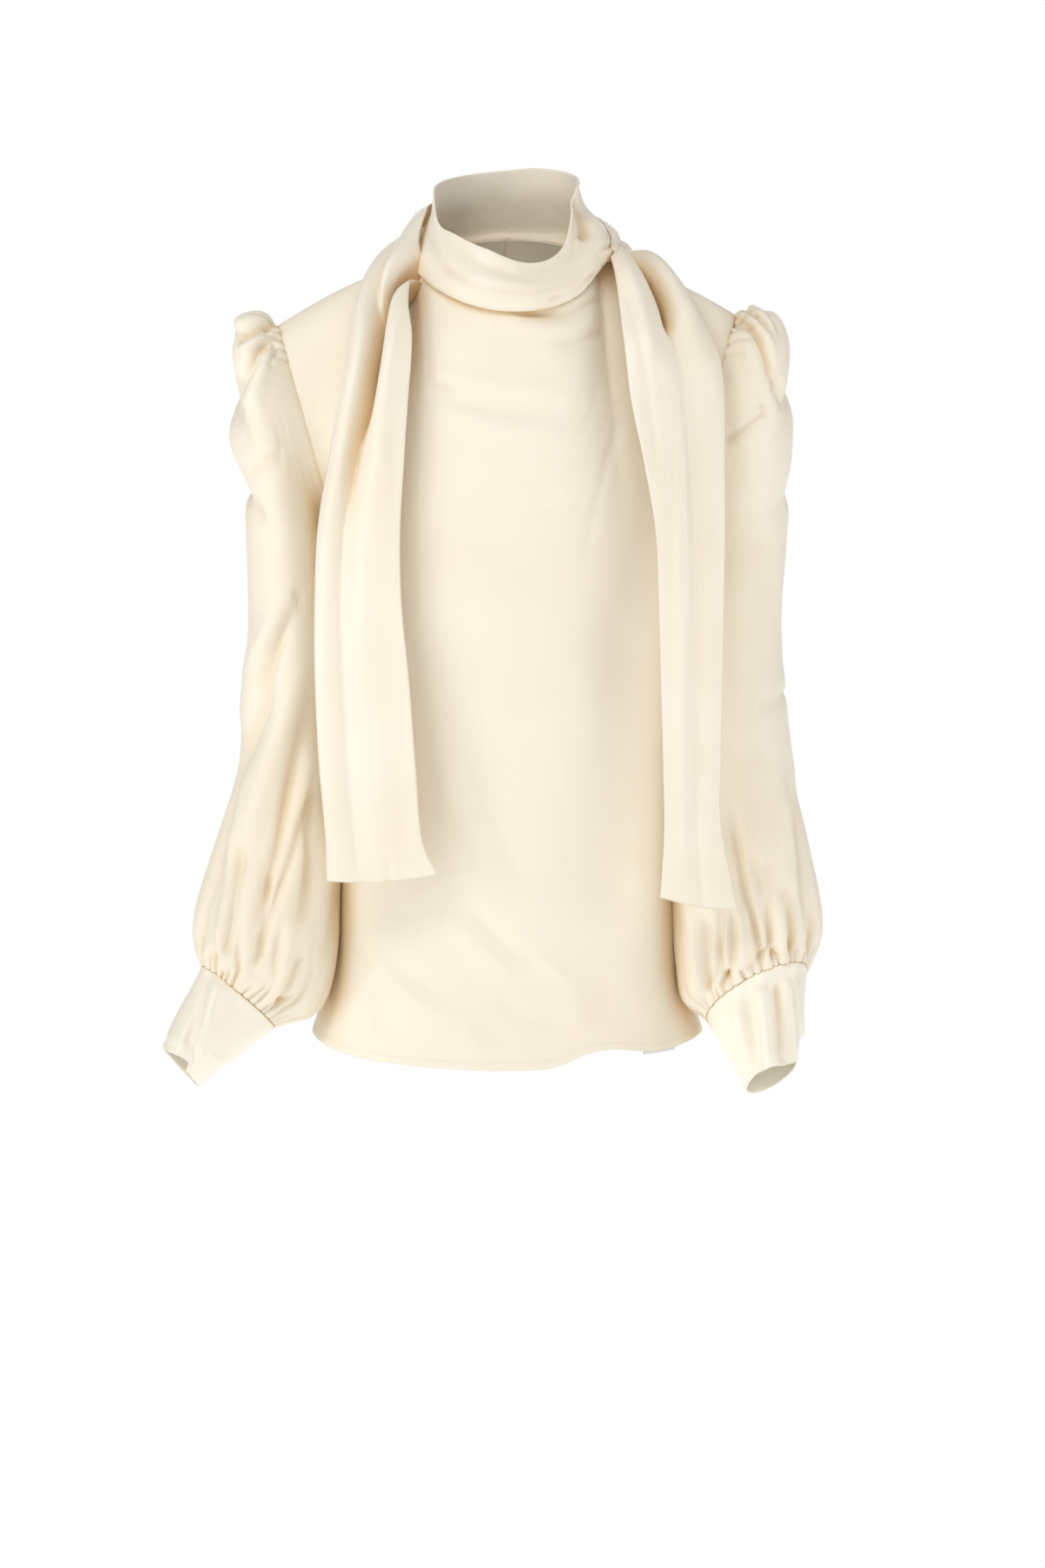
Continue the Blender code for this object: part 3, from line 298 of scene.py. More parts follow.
SLEEVE_CREASES = {
    -1: [
        ([(-225, -58), (-211, -51), (-192, -47)], 4, 3, -5.5, -3.5),
        ([(-226, -50), (-210, -42), (-190, -39)], 7, 5, 4.5, 3),
        ([(-222, -67), (-211, -59), (-190, -52)], 5, 3, 3.5, 2),
        ([(-192, -55), (-204, -63), (-212, -75), (-219, -89), (-227, -103), (-229, -117), (-226, -133)],
         4, 7, -4.5, -4.5),
        ([(-192, -61), (-196, -62)], 2.2, 2.5, -2.5, -1.5),
        ([(-190, -65), (-196, -73), (-198, -80)], 2.2, 3, -2.5, -1.2),
        ([(-194, -67), (-203, -79), (-210, -95), (-215, -114)], 7, 9, 2.6, 2.2),
        ([(-185, -151), (-197, -155), (-208, -162), (-213, -172)], 8, 9, -1.8, -1.4),
        ([(-189, -140), (-204, -143), (-214, -152)], 9, 9, 1.2, 1.0),
        ([(-179, -266), (-171, -270)], 3, 3, -1.6, -1.0),
        ([(-169, -272), (-176, -273)], 3, 4, -1.6, -1.0),
        ([(-175, -277), (-191, -305), (-204, -335), (-205, -355), (-209, -370), (-217, -390),
          (-233, -423), (-240, -455), (-245, -488), (-253, -527)], 7, 8, -8.5, -5.5),
        ([(-185, -276), (-202, -308), (-216, -336), (-219, -353), (-223, -368), (-233, -387)], 9, 9, 4, 3),
        ([(-166, -313), (-181, -349), (-188, -377), (-202, -413), (-214, -456), (-224, -499),
          (-234, -542)], 10, 9, 4, 3),
        ([(-162, -350), (-174, -393), (-183, -432), (-191, -475), (-205, -522), (-217, -561)],
         7, 6, -5.5, -4.5),
        ([(-162, -395), (-171, -433), (-179, -471), (-193, -512)], 7, 6, 3, 2.5),
        ([(-165, -436), (-178, -478), (-191, -517), (-204, -556), (-213, -578)], 5, 5, -6, -5),
        ([(-198, -499), (-203, -536), (-211, -563)], 5, 4, -3.5, -4),
        ([(-161, -424), (-165, -466), (-167, -516), (-171, -545)], 4, 5, -6.5, -4),
        ([(-236, -454), (-236, -496), (-244, -546), (-248, -569)], 6, 5, 2.5, 2.5),
        ([(-223, -477), (-231, -532), (-237, -571)], 5, 4, -3.5, -4),
        ([(-180, -537), (-187, -570), (-198, -602)], 6, 5, 3.5, 3),
        ([(-172, -567), (-182, -592), (-195, -616)], 4, 4, -4, -4),
    ],
    1: [
        ([(188, -31), (206, -29), (219, -37), (228, -53)], 2.6, 3.4, -2.6, -2.6),
        ([(188, -36), (199, -35), (211, -41), (221, -52)], 2.6, 3.2, -2.6, -2.4),
        ([(188, -39), (202, -46), (211, -58), (216, -73), (221, -90)], 3, 4, -4.5, -4),
        ([(189, -47), (194, -45)], 2, 2.4, -3, -1.5),
        ([(188, -33), (202, -32), (216, -39), (224, -52)], 2.6, 3.2, 2.2, 2.4),
        ([(188, -38), (202, -41), (214, -52), (220, -69)], 3.5, 5, 3, 3.4),
        ([(189, -52), (199, -62), (204, -82)], 6, 9, 2, 1.5),
        ([(221, -88), (227, -101), (234, -114)], 4, 5, -3.5, -3),
        ([(182, -139), (199, -127), (217, -113)], 4, 5, -3.2, -2.6),
        ([(186, -131), (201, -118), (214, -108)], 6, 6, 1.8, 1.6),
        ([(239, -356), (225, -361), (208, -366)], 4, 6, -2.2, -1),
        ([(243, -429), (248, -480), (251, -517), (260, -552), (252, -572)], 3, 4, -3.6, -4.6),
        ([(234, -432), (237, -480), (238, -520)], 6, 6, 2.4, 2.6),
        ([(190, -454), (196, -499), (204, -532), (211, -560), (214, -581)], 7, 4, -4.5, -5.5),
        ([(204, -477), (213, -515), (223, -561), (226, -581)], 6, 4, -3.5, -5.5),
        ([(231, -507), (239, -540), (239, -576)], 5, 4, -3, -4.5),
        ([(178, -507), (177, -539), (174, -568), (171, -595)], 6, 4, -5, -5),
        ([(186, -522), (189, -549), (187, -576), (183, -601)], 5, 4, -3.5, -5),
        ([(166, -537), (165, -577), (169, -610)], 5, 4, -4, -4),
        ([(197, -522), (199, -555), (196, -583)], 6, 4, 3, 3),
        ([(213, -507), (219, -547), (221, -576)], 6, 4, 2.8, 2.8),
        ([(230, -514), (232, -555), (233, -576)], 6, 4, 2.6, 2.6),
        ([(187, -239), (195, -324), (192, -409)], 16, 18, 2, 1.5),
        ([(209, -210), (217, -280), (218, -350)], 16, 18, -2, -1.5),
    ],
}
TIE_CREASES = {
    -1: [
        ([(-70, 24), (-91, -14), (-99, -45), (-111, -105), (-124, -143), (-132, -198)], 3.6, 5, -16, -3.0),
        ([(-66, 36), (-78, 6), (-94, -20), (-102, -55), (-115, -105)], 2.4, 3, -13, -4),
        ([(-80, 17), (-104, -21), (-115, -59), (-125, -104), (-135, -148)], 10, 12, 3.5, 2),
        ([(-75, -11), (-86, -60), (-97, -108), (-103, -170)], 8, 10, 3.5, 1.5),
        ([(-76, -26), (-83, -74), (-90, -129), (-92, -198)], 4, 6, -2.5, -1),
        ([(-133, -177), (-137, -276), (-134, -382), (-131, -473)], 10, 12, -1.3, -0.7),
        ([(-117, -206), (-114, -313), (-108, -419), (-102, -487)], 12, 14, 1.3, 0.9),
        ([(-100, -243), (-94, -349), (-85, -441), (-81, -487)], 8, 10, -0.9, -1.1),
        ([(-95, -506), (-97, -487), (-99, -465)], 3, 3, -1.6, -0.6),
    ],
    1: [
        ([(92, 23), (114, 0), (129, -25), (132, -51)], 3.4, 4, -12, -4),
        ([(96, 18), (114, 0), (127, -22), (134, -50)], 2, 2.6, -10, -5),
        ([(100, 27), (124, 3), (145, -22), (153, -49)], 8, 9, 3, 2),
        ([(89, 11), (100, -20), (108, -54), (114, -92)], 8, 9, 3, 1.6),
        ([(96, -11), (106, -52), (116, -104), (124, -156)], 4, 5, -2.6, -1.2),
        ([(150, -61), (154, -131), (157, -231), (155, -345), (157, -444)], 7, 9, -1.2, -0.7),
        ([(140, -75), (143, -175), (144, -274), (143, -388), (147, -488)], 7, 8, 1.4, 1.4),
        ([(133, -90), (135, -175), (136, -274), (137, -388), (138, -481)], 5, 7, -1.2, -0.8),
        ([(165, -61), (167, -175), (167, -318), (168, -447), (177, -510)], 7, 8, -0.8, -1.0),
    ],
}
CUFF_CREASES = {
    -1: [
        ([(-266, -660), (-258, -634), (-251, -605), (-247, -585)], 9, 11, 3.0, 1.8, "step"),
        ([(-252, -582), (-259, -612), (-268, -642)], 4, 5, -1.6, -2.0),
        ([(-241, -590), (-248, -620), (-257, -652)], 5, 6, 1.6, 2.2),
        ([(-222, -606), (-232, -632), (-243, -655)], 8, 9, -1.4, -1.8),
        ([(-272, -600), (-278, -622), (-282, -640)], 5, 6, 1.0, 1.2),
    ],
    1: [
        ([(213, -590), (217, -621), (220, -655)], 6, 6, 3.6, 3.8),
        ([(202, -598), (207, -630), (211, -662)], 6, 6, -2.6, -2.8),
        ([(226, -587), (228, -618), (229, -650)], 5, 5, -3.8, -4.0),
        ([(192, -606), (199, -640), (205, -668)], 5, 5, 2.2, 2.4),
        ([(248, -652), (243, -618), (239, -586)], 6, 6, 2.6, 1.8, "step"),
        ([(234, -586), (237, -618), (240, -650)], 4, 4, 2.4, 2.6),
    ],
}
COLLAR_CREASES = [
    ([(-62, 11), (-37, -5), (-1, -13), (42, -12), (70, 0)], 5, 5, -0.8, -0.9),
    ([(-44, 25), (-16, 7), (13, 2), (42, 7)], 5, 5, -0.5, -0.6),
    ([(-66, 30), (-50, 8), (-30, -4)], 4, 5, -0.9, -0.5),
    ([(30, -22), (56, -14), (78, 2)], 4, 4, -1.2, -1.4),
    ([(44, 4), (62, 12), (76, 26)], 5, 5, 1.0, 1.4),
    ([(57, 62), (60, 48), (63, 36), (64, 26)], 3, 5, -3.0, -5.0),
    ([(70, 50), (76, 34), (80, 18)], 5, 6, 1.8, 2.2),
    ([(84, 18), (86, 6)], 5, 5, 3.0, 3.5),
]

# ---------------------------------------------------------------- slopes of the cloth's form

# How the chest's cubic leaves the armpits: upwards, less at the armhole, and swept forward there
CHEST_RISE = 170.0
CHEST_RISE_LOSS = 70.0
CHEST_SWEEP = 165.0
# How it meets the top edge: inwards and upwards at the neck, flatter along the shoulder, and
# outwards and upwards again at the armhole
NECK_INWARD = 60.0
NECK_UPWARD = 140.0
SHOULDER_INWARD = 58.0
SHOULDER_FLATTER = 112.0
SHOULDER_OUT = 14.0
ARMHOLE_UPWARD = 10.0
# How the sleeve's head leaves the armhole and arrives at the arm, as shares of its length
CAP_FORWARD = 0.45
CAP_ARRIVAL = 0.9

# ---------------------------------------------------------------- relief of the cloth

# Creases: straight pieces between two points, reach in half widths, share of the length over
# which an end fades, fall and crest of a sharp one, width of a step's edge
CREASE_PIECES = 4
CREASE_REACH = 3.2
CREASE_FADE = 0.22
SHARP_FALL = 1.3
SHARP_CREST = 0.3
STEP_WIDTH = 0.25

# Ripples: octaves, waves in each, how much finer and weaker the next is, bend by the one before
RIPPLE_OCTAVES = 3
RIPPLE_WAVES = 3
RIPPLE_FINER = 1.7
RIPPLE_WEAKER = 1.9
RIPPLE_BEND = 1.3

# Points to each side, and the height below their mean that counts as a whole fold
VALLEY_REACHES = ((2, 1.1), (6, 3.2))
# How much painted shade the folds of the sleeves and of the collar get, as shares of how deep they lie
SLEEVE_FOLD_SHADE = 0.1
COLLAR_FOLD_SHADE = 0.25

# What lies on other cloth: how far round that is searched, and how far from a point it counts
REST_MARGIN = 20.0
REST_BESIDE = 4.5
REST_DEPTH = 14.0
REST_BATCH = 1500

# Panels: roll at a seam, ripple, swell of the front below the collar, hem and slit
SEAM_ROLL = 0.5
SEAM_ROLL_WIDTH = 3.5
PANEL_SEEDS = {-1: 11, 1: 12}
PANEL_RIPPLE = 0.45
PANEL_RIPPLE_LENGTH = 170.0
PANEL_HALF_WIDTH = 235.0
NECK_SWELL = 3.0
NECK_SWELL_Z = -42.0
NECK_SWELL_HALF_WIDTH = 60.0
NECK_SWELL_REACH = 26.0
HEM_BAND = 12.0
HEM_LAYER = 0.35
HEM_TURN = 7.2
HEM_TURN_EDGE = 1.2
HEM_GROOVE = 0.30
HEM_GROOVE_WIDTH = 0.8
HEM_PUCKER = 0.16
HEM_PUCKER_PITCH = 6.2
HEM_PUCKER_WANDER = 17.0
HEM_PUCKER_REACH = 5.0
SLIT_START = 12.0
SLIT_LIFT = 0.5

STITCH_PITCH = 2.9
STITCH_LENGTH = 2.2
STITCH_RADIUS = 0.17
STITCH_ABOVE = 0.45
# Rings of a stitch: place along it as a share of its length, and share of its radius
STITCH_RINGS = ((-0.5, 0.35), (-0.3, 1.0), (0.3, 1.0), (0.5, 0.35))

# Sleeves: seam and pleats of the head, large folds, inner swell, gathers, and the tuck into the
# cuff; then the cuff's own pucker and roll at that seam
ARMHOLE_GROOVE = 0.9
SEAM_LINE = 0.6
HEAD_TUCK = 1.2
HEAD_PLEATS = 34
PLEAT_HEIGHT = 1.3
PLEAT_DEGREES = 62.0
PLEAT_SHARE = 0.07
PUCKER_UNEVEN = 0.9
PUCKER_ROUNDNESS = 0.75
PUCKER_SINK = 1.1
DEGREE_RUN = 0.9
FOLD_RUN = 450.0
INNER_SWELL = 8.5
INNER_SWELL_DEGREES = 42.0
SLEEVE_RIPPLE = 0.5
CREASE_END_ABOVE_CUFF = 26.0
GATHERS = 34
GATHERS_FROM = 0.90
GATHER_LENGTHS = (24, 52, 120)
GATHER_SWELL = 1.6
GATHER_SWELL_REACH = 30.0
GATHER_WIDTH = 1.2
GATHER_SPREAD = 0.038
GATHER_DEPTH = 2.4
GATHER_DEEPENING = 0.09
GATHER_DEEPEST = 50.0
TUCK_LENGTH = 1.8
TUCK_DEPTH = 1.1
CUFF_TUCK = 2.5
CUFF_PLEATS = 46
CUFF_PUCKER = 0.35
CUFF_ROLL_WIDTH = 1.6

# Collar and ties: how far they lie above the cloth below, and where the ties' creases end
COLLAR_CLEARANCE = 1.4
COLLAR_LIFT = 0.6
COLLAR_RIPPLE = 0.4
TIE_NECK_DIP = 1.7
TIE_CREASES_TO_Y = 34.0
TIE_CREASES_FADE = 22.0
# How deep a tie's crease lies below the cloth before it gets painted shade, and the further depth over
# which that shade grows full
TIE_FOLD_PAINTED_SHADE_FROM = 5.0
TIE_FOLD_SPAN = 9.0

# ---------------------------------------------------------------- grid sizes

PANEL_COLUMNS = 161
PANEL_ROWS = 130
HEM_ROWS = 13
STITCH_GRID_ROW = round(HEM_STITCH / HEM_BAND * (HEM_ROWS - 1))
CHEST_ROWS = 80
ARMHOLE_POINTS = 80
LABEL_COLUMNS = 24
LABEL_ROWS = 16
SLEEVE_POINTS = 240
SLEEVE_CAP_ROWS = 62
SLEEVE_ARM_ROWS = 76
SLEEVE_GATHER_ROWS = 40
CUFF_POINTS = 144
CUFF_ROWS = 48
COLLAR_POINTS = 220
COLLAR_ROWS = 56
TIE_ROWS = 230
TIE_COLUMNS = 46

# ---------------------------------------------------------------- finishes, cuts and stage

# Each face of the silk: grain, warp, wrinkle, roughness from and to, sheen
CREPE = (0.5, 0.35, 0.25, 0.44, 0.58, 0.25)
SATIN = (0.3, 0.5, 0.2, 0.30, 0.42, 0.2)
SHINY_SATIN = (0.3, 0.5, 0.2, 0.24, 0.36, 0.2)
# Painted sheen on the cuffs: the share of the way to white that each part of the satin's colour is brought
CUFF_PAINTED_SHEEN = (0.3, 0.28, 0.12)
# Painted shade in the deepest marked folds: each part of the hollows' shade colour made darker by a share
DEEP_FOLD_PAINTED_SHADE = (0.74, 0.62, 0.52)
# Painted shade in hollows: how far the ambient occlusion that finds them reaches
HOLLOW_PAINTED_SHADE_REACH = 0.03
SLUB_SCALE = (240.0, 5.0, 1.0)
WARP_SCALE = (2600.0, 260.0, 1.0)

CAMERA_PLACE = (0.013, -3.960, 0.227)
CAMERA_AIM = (0.013, 0, -0.437)
CAMERA_LENS = 108.1
# Each light: name, place and diameter in metres, the property that holds its power, its share
LIGHTS = (
    ("Left light", (-1.6, -2.4, 2.2), 1.2, "key", 1.0),
    ("Left side light", (-3.0, -1.9, 0.1), 2.0, "key", 1.15),
    ("Right side light", (3.2, -0.9, 0.2), 2.0, "fill", 1.0),
    ("Top light", (0.0, -2.0, 2.6), 2.0, "top", 1.0),
    ("Low light", (0.0, -3.4, -1.1), 2.0, "low", 1.0),
    ("Back light", (0.0, 3.6, 0.6), 2.0, "back", 1.0),
)
LIGHT_AIM = (0, 0, -0.3)
FLOOR_RINGS = (0.0005, 2, 6, 30)

# ---------------------------------------------------------------- curves and grids


def hermite(t, start, start_slope, end, end_slope):
    """The cubic from start to end that leaves and arrives along the two slopes."""
    return (
        (2 * t**3 - 3 * t**2 + 1) * start
        + (t**3 - 2 * t**2 + t) * start_slope
        + (3 * t**2 - 2 * t**3) * end
        + (t**3 - t**2) * end_slope
    )


def through(keys, values, at, period=None):
    """A smooth curve through values at keys: cubic between each two, with the slope at a key
    taken from its two neighbours. With a period the ends join."""
    keys, values = np.asarray(keys, float), np.asarray(values, float)
    if period:
        keys = np.concatenate([keys[-2:] - period, keys, keys[:2] + period])
        values = np.concatenate([values[-2:], values, values[:2]])
    slopes = np.gradient(values, keys, axis=0)
    at = np.asarray(at, float)
    i = np.clip(np.searchsorted(keys, at, side="right") - 1, 0, len(keys) - 2)
    step = keys[i + 1] - keys[i]
    t = np.clip((at - keys[i]) / step, 0, 1)
    return hermite(t, values[i], slopes[i] * step, values[i + 1], slopes[i + 1] * step)


def ease(x):
    """0 below 0, 1 above 1 and smooth between."""
    x = np.clip(x, 0, 1)
    return x * x * (3 - 2 * x)


def bell(x, width):
    """1 at 0, and less to both sides: the exponential of minus the square of x over width."""
    return np.exp(-((x / width) ** 2))


def unit(v):
    """The vectors of the last axis, each at length 1."""
    return v / np.maximum(np.linalg.norm(v, axis=-1, keepdims=True), 1e-9)


def level_with(v, axis):
    """The unit vectors v without what they have along axis."""
    return unit(v - (v * axis).sum(-1, keepdims=True) * axis)


def run_length(steps):
    """How far along a path each of its points lies, from the lengths of its steps."""
    return np.concatenate([[0], np.cumsum(steps)])


def grid_normals(rows, closed=False, flip=False):
    """The unit normal at each point of a grid: the step to the next column crossed with the
    step to the next row. closed joins the last column to the first."""
    if closed:
        across = np.roll(rows, -1, axis=1) - np.roll(rows, 1, axis=1)
    else:
        across = np.gradient(rows, axis=1)
    normals = unit(np.cross(across, np.gradient(rows, axis=0)))
    return -normals if flip else normals


def crease_height(x, z, creases):
    """The height of a table of creases at (x, z). Each runs along straight pieces between the
    points of a smooth curve; across it the height is a bell, a bell with a narrow crest (sharp)
    or half a bell on the right of the path (step). It fades towards both ends."""
    total = np.zeros(x.shape)
    for path, wide0, wide1, high0, high1, *kind in creases:
        path = np.array(path, float)
        keys = np.linspace(0, 1, len(path))
        count = CREASE_PIECES * (len(path) - 1)
        at = np.linspace(0, 1, count + 1)
        line = np.stack([through(keys, path[:, k], at) for k in (0, 1)], axis=-1)
        reach = CREASE_REACH * max(wide0, wide1)
        near = (x > path[:, 0].min() - reach) & (x < path[:, 0].max() + reach)
        near &= (z > path[:, 1].min() - reach) & (z < path[:, 1].max() + reach)
        if not near.any():
            continue
        start, step = line[:-1], np.diff(line, axis=0)
        length = np.linalg.norm(step, axis=1)
        dx, dz = x[near][:, None] - start[:, 0], z[near][:, None] - start[:, 1]
        t = np.clip((dx * step[:, 0] + dz * step[:, 1]) / length**2, 0, 1)
        away = np.hypot(dx - step[:, 0] * t, dz - step[:, 1] * t)
        k = away.argmin(axis=1)
        pick = np.arange(len(k)), k
        share = (k + t[pick]) / count
        wide = wide0 + (wide1 - wide0) * share
        far = away[pick] / wide
        if "sharp" in kind:
            profile = np.exp(SHARP_FALL * (SHARP_CREST - np.hypot(far, SHARP_CREST)))
        else:
            profile = bell(far, 1)
        if "step" in kind:
            side = ((dx * step[:, 1] - dz * step[:, 0]) / length)[pick]
            profile = profile * ease(0.5 + side / (STEP_WIDTH * wide))
        taper = ease(0.25 + share / CREASE_FADE) * ease(0.25 + (1 - share) / CREASE_FADE)
        total[near] += (high0 + (high1 - high0) * share) * taper * profile
    return total


def rest_on(points, under, clearance):
    """The points moved out along the normal of the nearest point of the cloth below, where they
    are nearer to it than clearance. under is a list of (points, normals)."""
    shape = points.shape
    moved = points.reshape(-1, 3).copy()
    wanted = np.broadcast_to(clearance, shape[:-1]).ravel()
    for base, normals in under:
        base, normals = base.reshape(-1, 3), normals.reshape(-1, 3)
        near = (base > moved.min(axis=0) - REST_MARGIN).all(axis=1)
        near &= (base < moved.max(axis=0) + REST_MARGIN).all(axis=1)
        base, normals = base[near], normals[near]
        across = np.ascontiguousarray(base.T, np.float32)
        square = (across**2).sum(0)
        for first in range(0, len(moved), REST_BATCH):
            part = moved[first : first + REST_BATCH]
            nearest = (square - 2 * part.astype(np.float32) @ across).argmin(axis=1)
            offset = part - base[nearest]
            height = (offset * normals[nearest]).sum(-1)
            beside = np.linalg.norm(offset - normals[nearest] * height[:, None], axis=-1)
            short = wanted[first : first + REST_BATCH] - height
            held = (beside < REST_BESIDE) & (height > -REST_DEPTH) & (short > 0)
            moved[first : first + REST_BATCH] = part + normals[nearest] * np.where(held, short, 0)[:, None]
    return moved.reshape(shape)


def ripple(u, v, seed, size):
    """Soft uneven relief between about -1 and 1: sums of sine waves in turned directions, each
    bent by the one before. size is the length of the longest wave."""
    random = np.random.default_rng(seed)
    total = np.zeros(np.broadcast(u, v).shape)
    bend = 0.0
    for octave in range(RIPPLE_OCTAVES):
        scale = 2 * math.pi / (size / RIPPLE_FINER**octave)
        for _ in range(RIPPLE_WAVES):
            turn = random.uniform(0, 2 * math.pi)
            phase = random.uniform(0, 2 * math.pi)
            wave = np.sin((u * math.cos(turn) + v * math.sin(turn)) * scale + phase + bend)
            total = total + wave / RIPPLE_WEAKER**octave / RIPPLE_WAVES
            bend = RIPPLE_BEND * wave
    return total


def valley(height):
    """How deep each point of a closed grid lies in a fold: its height below the mean of the
    points around it, for a narrow and for a wide neighbourhood; 0 on a ridge, about 1 in a
    deep fold."""
    total = np.zeros(height.shape)
    for reach, full in VALLEY_REACHES:
        mean = height
        for axis in (0, 1, 0, 1):
            pad = [(0, 0), (0, 0)]
            pad[axis] = (reach + 1, reach)
            sums = np.cumsum(np.pad(mean, pad, mode="wrap" if axis else "edge"), axis=axis)
            first = np.arange(height.shape[axis])
            mean = np.take(sums, first + 2 * reach + 1, axis) - np.take(sums, first, axis)
            mean = mean / (2 * reach + 1)
        total = total + (mean - height) / full
    return np.clip(total, 0, 1)


# ---------------------------------------------------------------- meshes


def ring_quads(height, width):
    """The quads of a grid whose last column joins its first, as (rows, columns, corners)."""
    index = np.arange(height * width).reshape(height, width)
    right = np.roll(index, -1, axis=1)
    return np.stack([index[:-1], right[:-1], right[1:], index[1:]], axis=-1)


def new_piece(name, points, faces, material, uv=None, fold=None):
    """A mesh object at the origin from points in millimetres and an array of faces. uv holds a
    pair in metres for each corner of each face, in the faces' order, and fold a share per point,
    how much painted shade the silk's material puts there."""
    mesh = bpy.data.meshes.new(name)
    faces = np.asarray(faces, np.int32)
    count, corners = faces.shape
    mesh.vertices.add(len(points))
    mesh.vertices.foreach_set("co", (np.asarray(points) * MM).astype(np.float32).ravel())
    mesh.loops.add(count * corners)
    mesh.loops.foreach_set("vertex_index", faces.ravel())
    mesh.polygons.add(count)
    mesh.polygons.foreach_set("loop_start", np.arange(count, dtype=np.int32) * corners)
    mesh.polygons.foreach_set("use_smooth", np.ones(count, bool))
    mesh.update(calc_edges=True)
    if uv is not None:
        layer = mesh.uv_layers.new(name="cut")
        layer.data.foreach_set("uv", np.asarray(uv, np.float32).ravel())
    if fold is not None:
        layer = mesh.attributes.new("fold", "FLOAT", "POINT")
        layer.data.foreach_set("value", fold.astype(np.float32).ravel())
    mesh.validate()
    piece = bpy.data.objects.new(name, mesh)
    bpy.context.scene.collection.objects.link(piece)
    mesh.materials.append(material)
    return piece


def sheet_piece(name, rows, material, thickness, closed=False, flip=False, open_cells=None, fold=None):
    """A thin shell on a grid of points (rows, columns, xyz): a quad between each four
    neighbours but for the open cells, and the cloth's thickness put on by Solidify, half to each
    side. The UV is the mean run across and down the cloth. closed joins the last column to the
    first, and flip turns the faces round."""
    quads = ring_quads(*rows.shape[:2])
    spread = np.concatenate([rows, rows[:, :1]], axis=1)
    across = run_length(np.linalg.norm(np.diff(spread, axis=1), axis=-1).mean(axis=0))
    down = run_length(np.linalg.norm(np.diff(rows, axis=0), axis=-1).mean(axis=1))
    place = np.stack(np.meshgrid(across * MM, down * MM), -1)
    uv = np.stack([place[:-1, :-1], place[:-1, 1:], place[1:, 1:], place[1:, :-1]], axis=2)
    if not closed:
        quads, uv = quads[:, :-1], uv[:, :-1]
    keep = np.ones(quads.shape[:2], bool)
    if open_cells is not None:
        keep &= ~open_cells[: keep.shape[0], : keep.shape[1]]
    quads, uv = quads[keep], uv[keep]
    if flip:
        quads, uv = quads[:, ::-1], uv[:, ::-1]
    piece = new_piece(name, rows.reshape(-1, 3), quads, material, uv, fold)
    solid = piece.modifiers.new("Cloth thickness", "SOLIDIFY")
    solid.thickness = thickness * MM
    solid.offset = 0
    return piece


def stitch_row(name, path, normals, material):
    """A row of stitches as one mesh: beads of four rings of four points, spaced evenly along the
    path, each turned along it and standing on the cloth."""
    run = run_length(np.linalg.norm(np.diff(path, axis=0), axis=-1))
    places = np.arange(STITCH_PITCH, run[-1] - STITCH_PITCH, STITCH_PITCH)

    def at(where, values):
        return np.stack([np.interp(where, run, values[:, k]) for k in range(3)], -1)[:, None, None, :]

    centre, up = at(places, path), unit(at(places, normals))
    along = unit(at(places + 0.5, path) - centre)
    beside = unit(np.cross(up, along))
    rings = np.array(STITCH_RINGS)[:, :, None, None]
    turn = np.arange(4)[:, None] * math.pi / 2
    around = np.cos(turn) * beside + np.sin(turn) * up
    points = centre + rings[:, 0] * STITCH_LENGTH * along + rings[:, 1] * STITCH_RADIUS * around
    ring = np.arange(4)
    after = np.roll(ring, -1)
    sides = [4 * k + np.stack([ring, after, 4 + after, 4 + ring], -1) for k in range(3)]
    quads = np.concatenate(sides + [np.array([[3, 2, 1, 0], [12, 13, 14, 15]])])
    faces = quads[None] + 16 * np.arange(len(places))[:, None, None]
    return new_piece(name, points.reshape(-1, 3), faces.reshape(-1, 4), material)


# ---------------------------------------------------------------- body


def section(face, s, z):
    """A point of the body's cross-section at height z: a slightly squared half ellipse, s from
    -1 to 1 between the side seams, face -1 on the front and 1 on the back."""
    keys = BODY_SECTIONS[:, 0]
    half_width = through(keys, BODY_SECTIONS[:, 1], z)
    depth = through(keys, BODY_SECTIONS[:, 2 if face < 0 else 3], z)
    angle = s * math.pi / 2
    square = 1 + SECTION_SQUARENESS * np.sin(2 * angle) ** 2
    x = half_width * np.sin(angle) * square
    y = face * (SEAM_GAP / 2 + depth * np.cos(angle) * square)
    return np.stack(np.broadcast_arrays(x, y, z), axis=-1)


def top_edge(face, s):
    """The upper edge of a panel: the neckline up to NECK_SHARE, then the shoulder seam."""
    share = np.abs(s)
    turn = np.clip(share / NECK_SHARE, 0, 1) * math.pi / 2
    along = np.clip((share - NECK_SHARE) / (1 - NECK_SHARE), 0, 1)
    neck_depth, neck_rise = (NECK_FRONT, -NECK_FRONT_DROP) if face < 0 else (NECK_BACK, NECK_BACK_RISE)
    x = NECK_HALF_WIDTH * np.sin(turn) + (SHOULDER_HALF_WIDTH - NECK_HALF_WIDTH) * along
    y = face * (SEAM_GAP / 2 + neck_depth * np.cos(turn)) - SHOULDER_FORWARD * along
    z = (
        NECK_POINT_Z
        + neck_rise * np.cos(turn) ** 2
        - SHOULDER_DROP * along
        + SHOULDER_CROWN * np.sin(math.pi * along)
        + SHOULDER_LEAN * np.sign(s) * x
    )
    return np.stack([np.sign(s) * x, y, z], axis=-1)


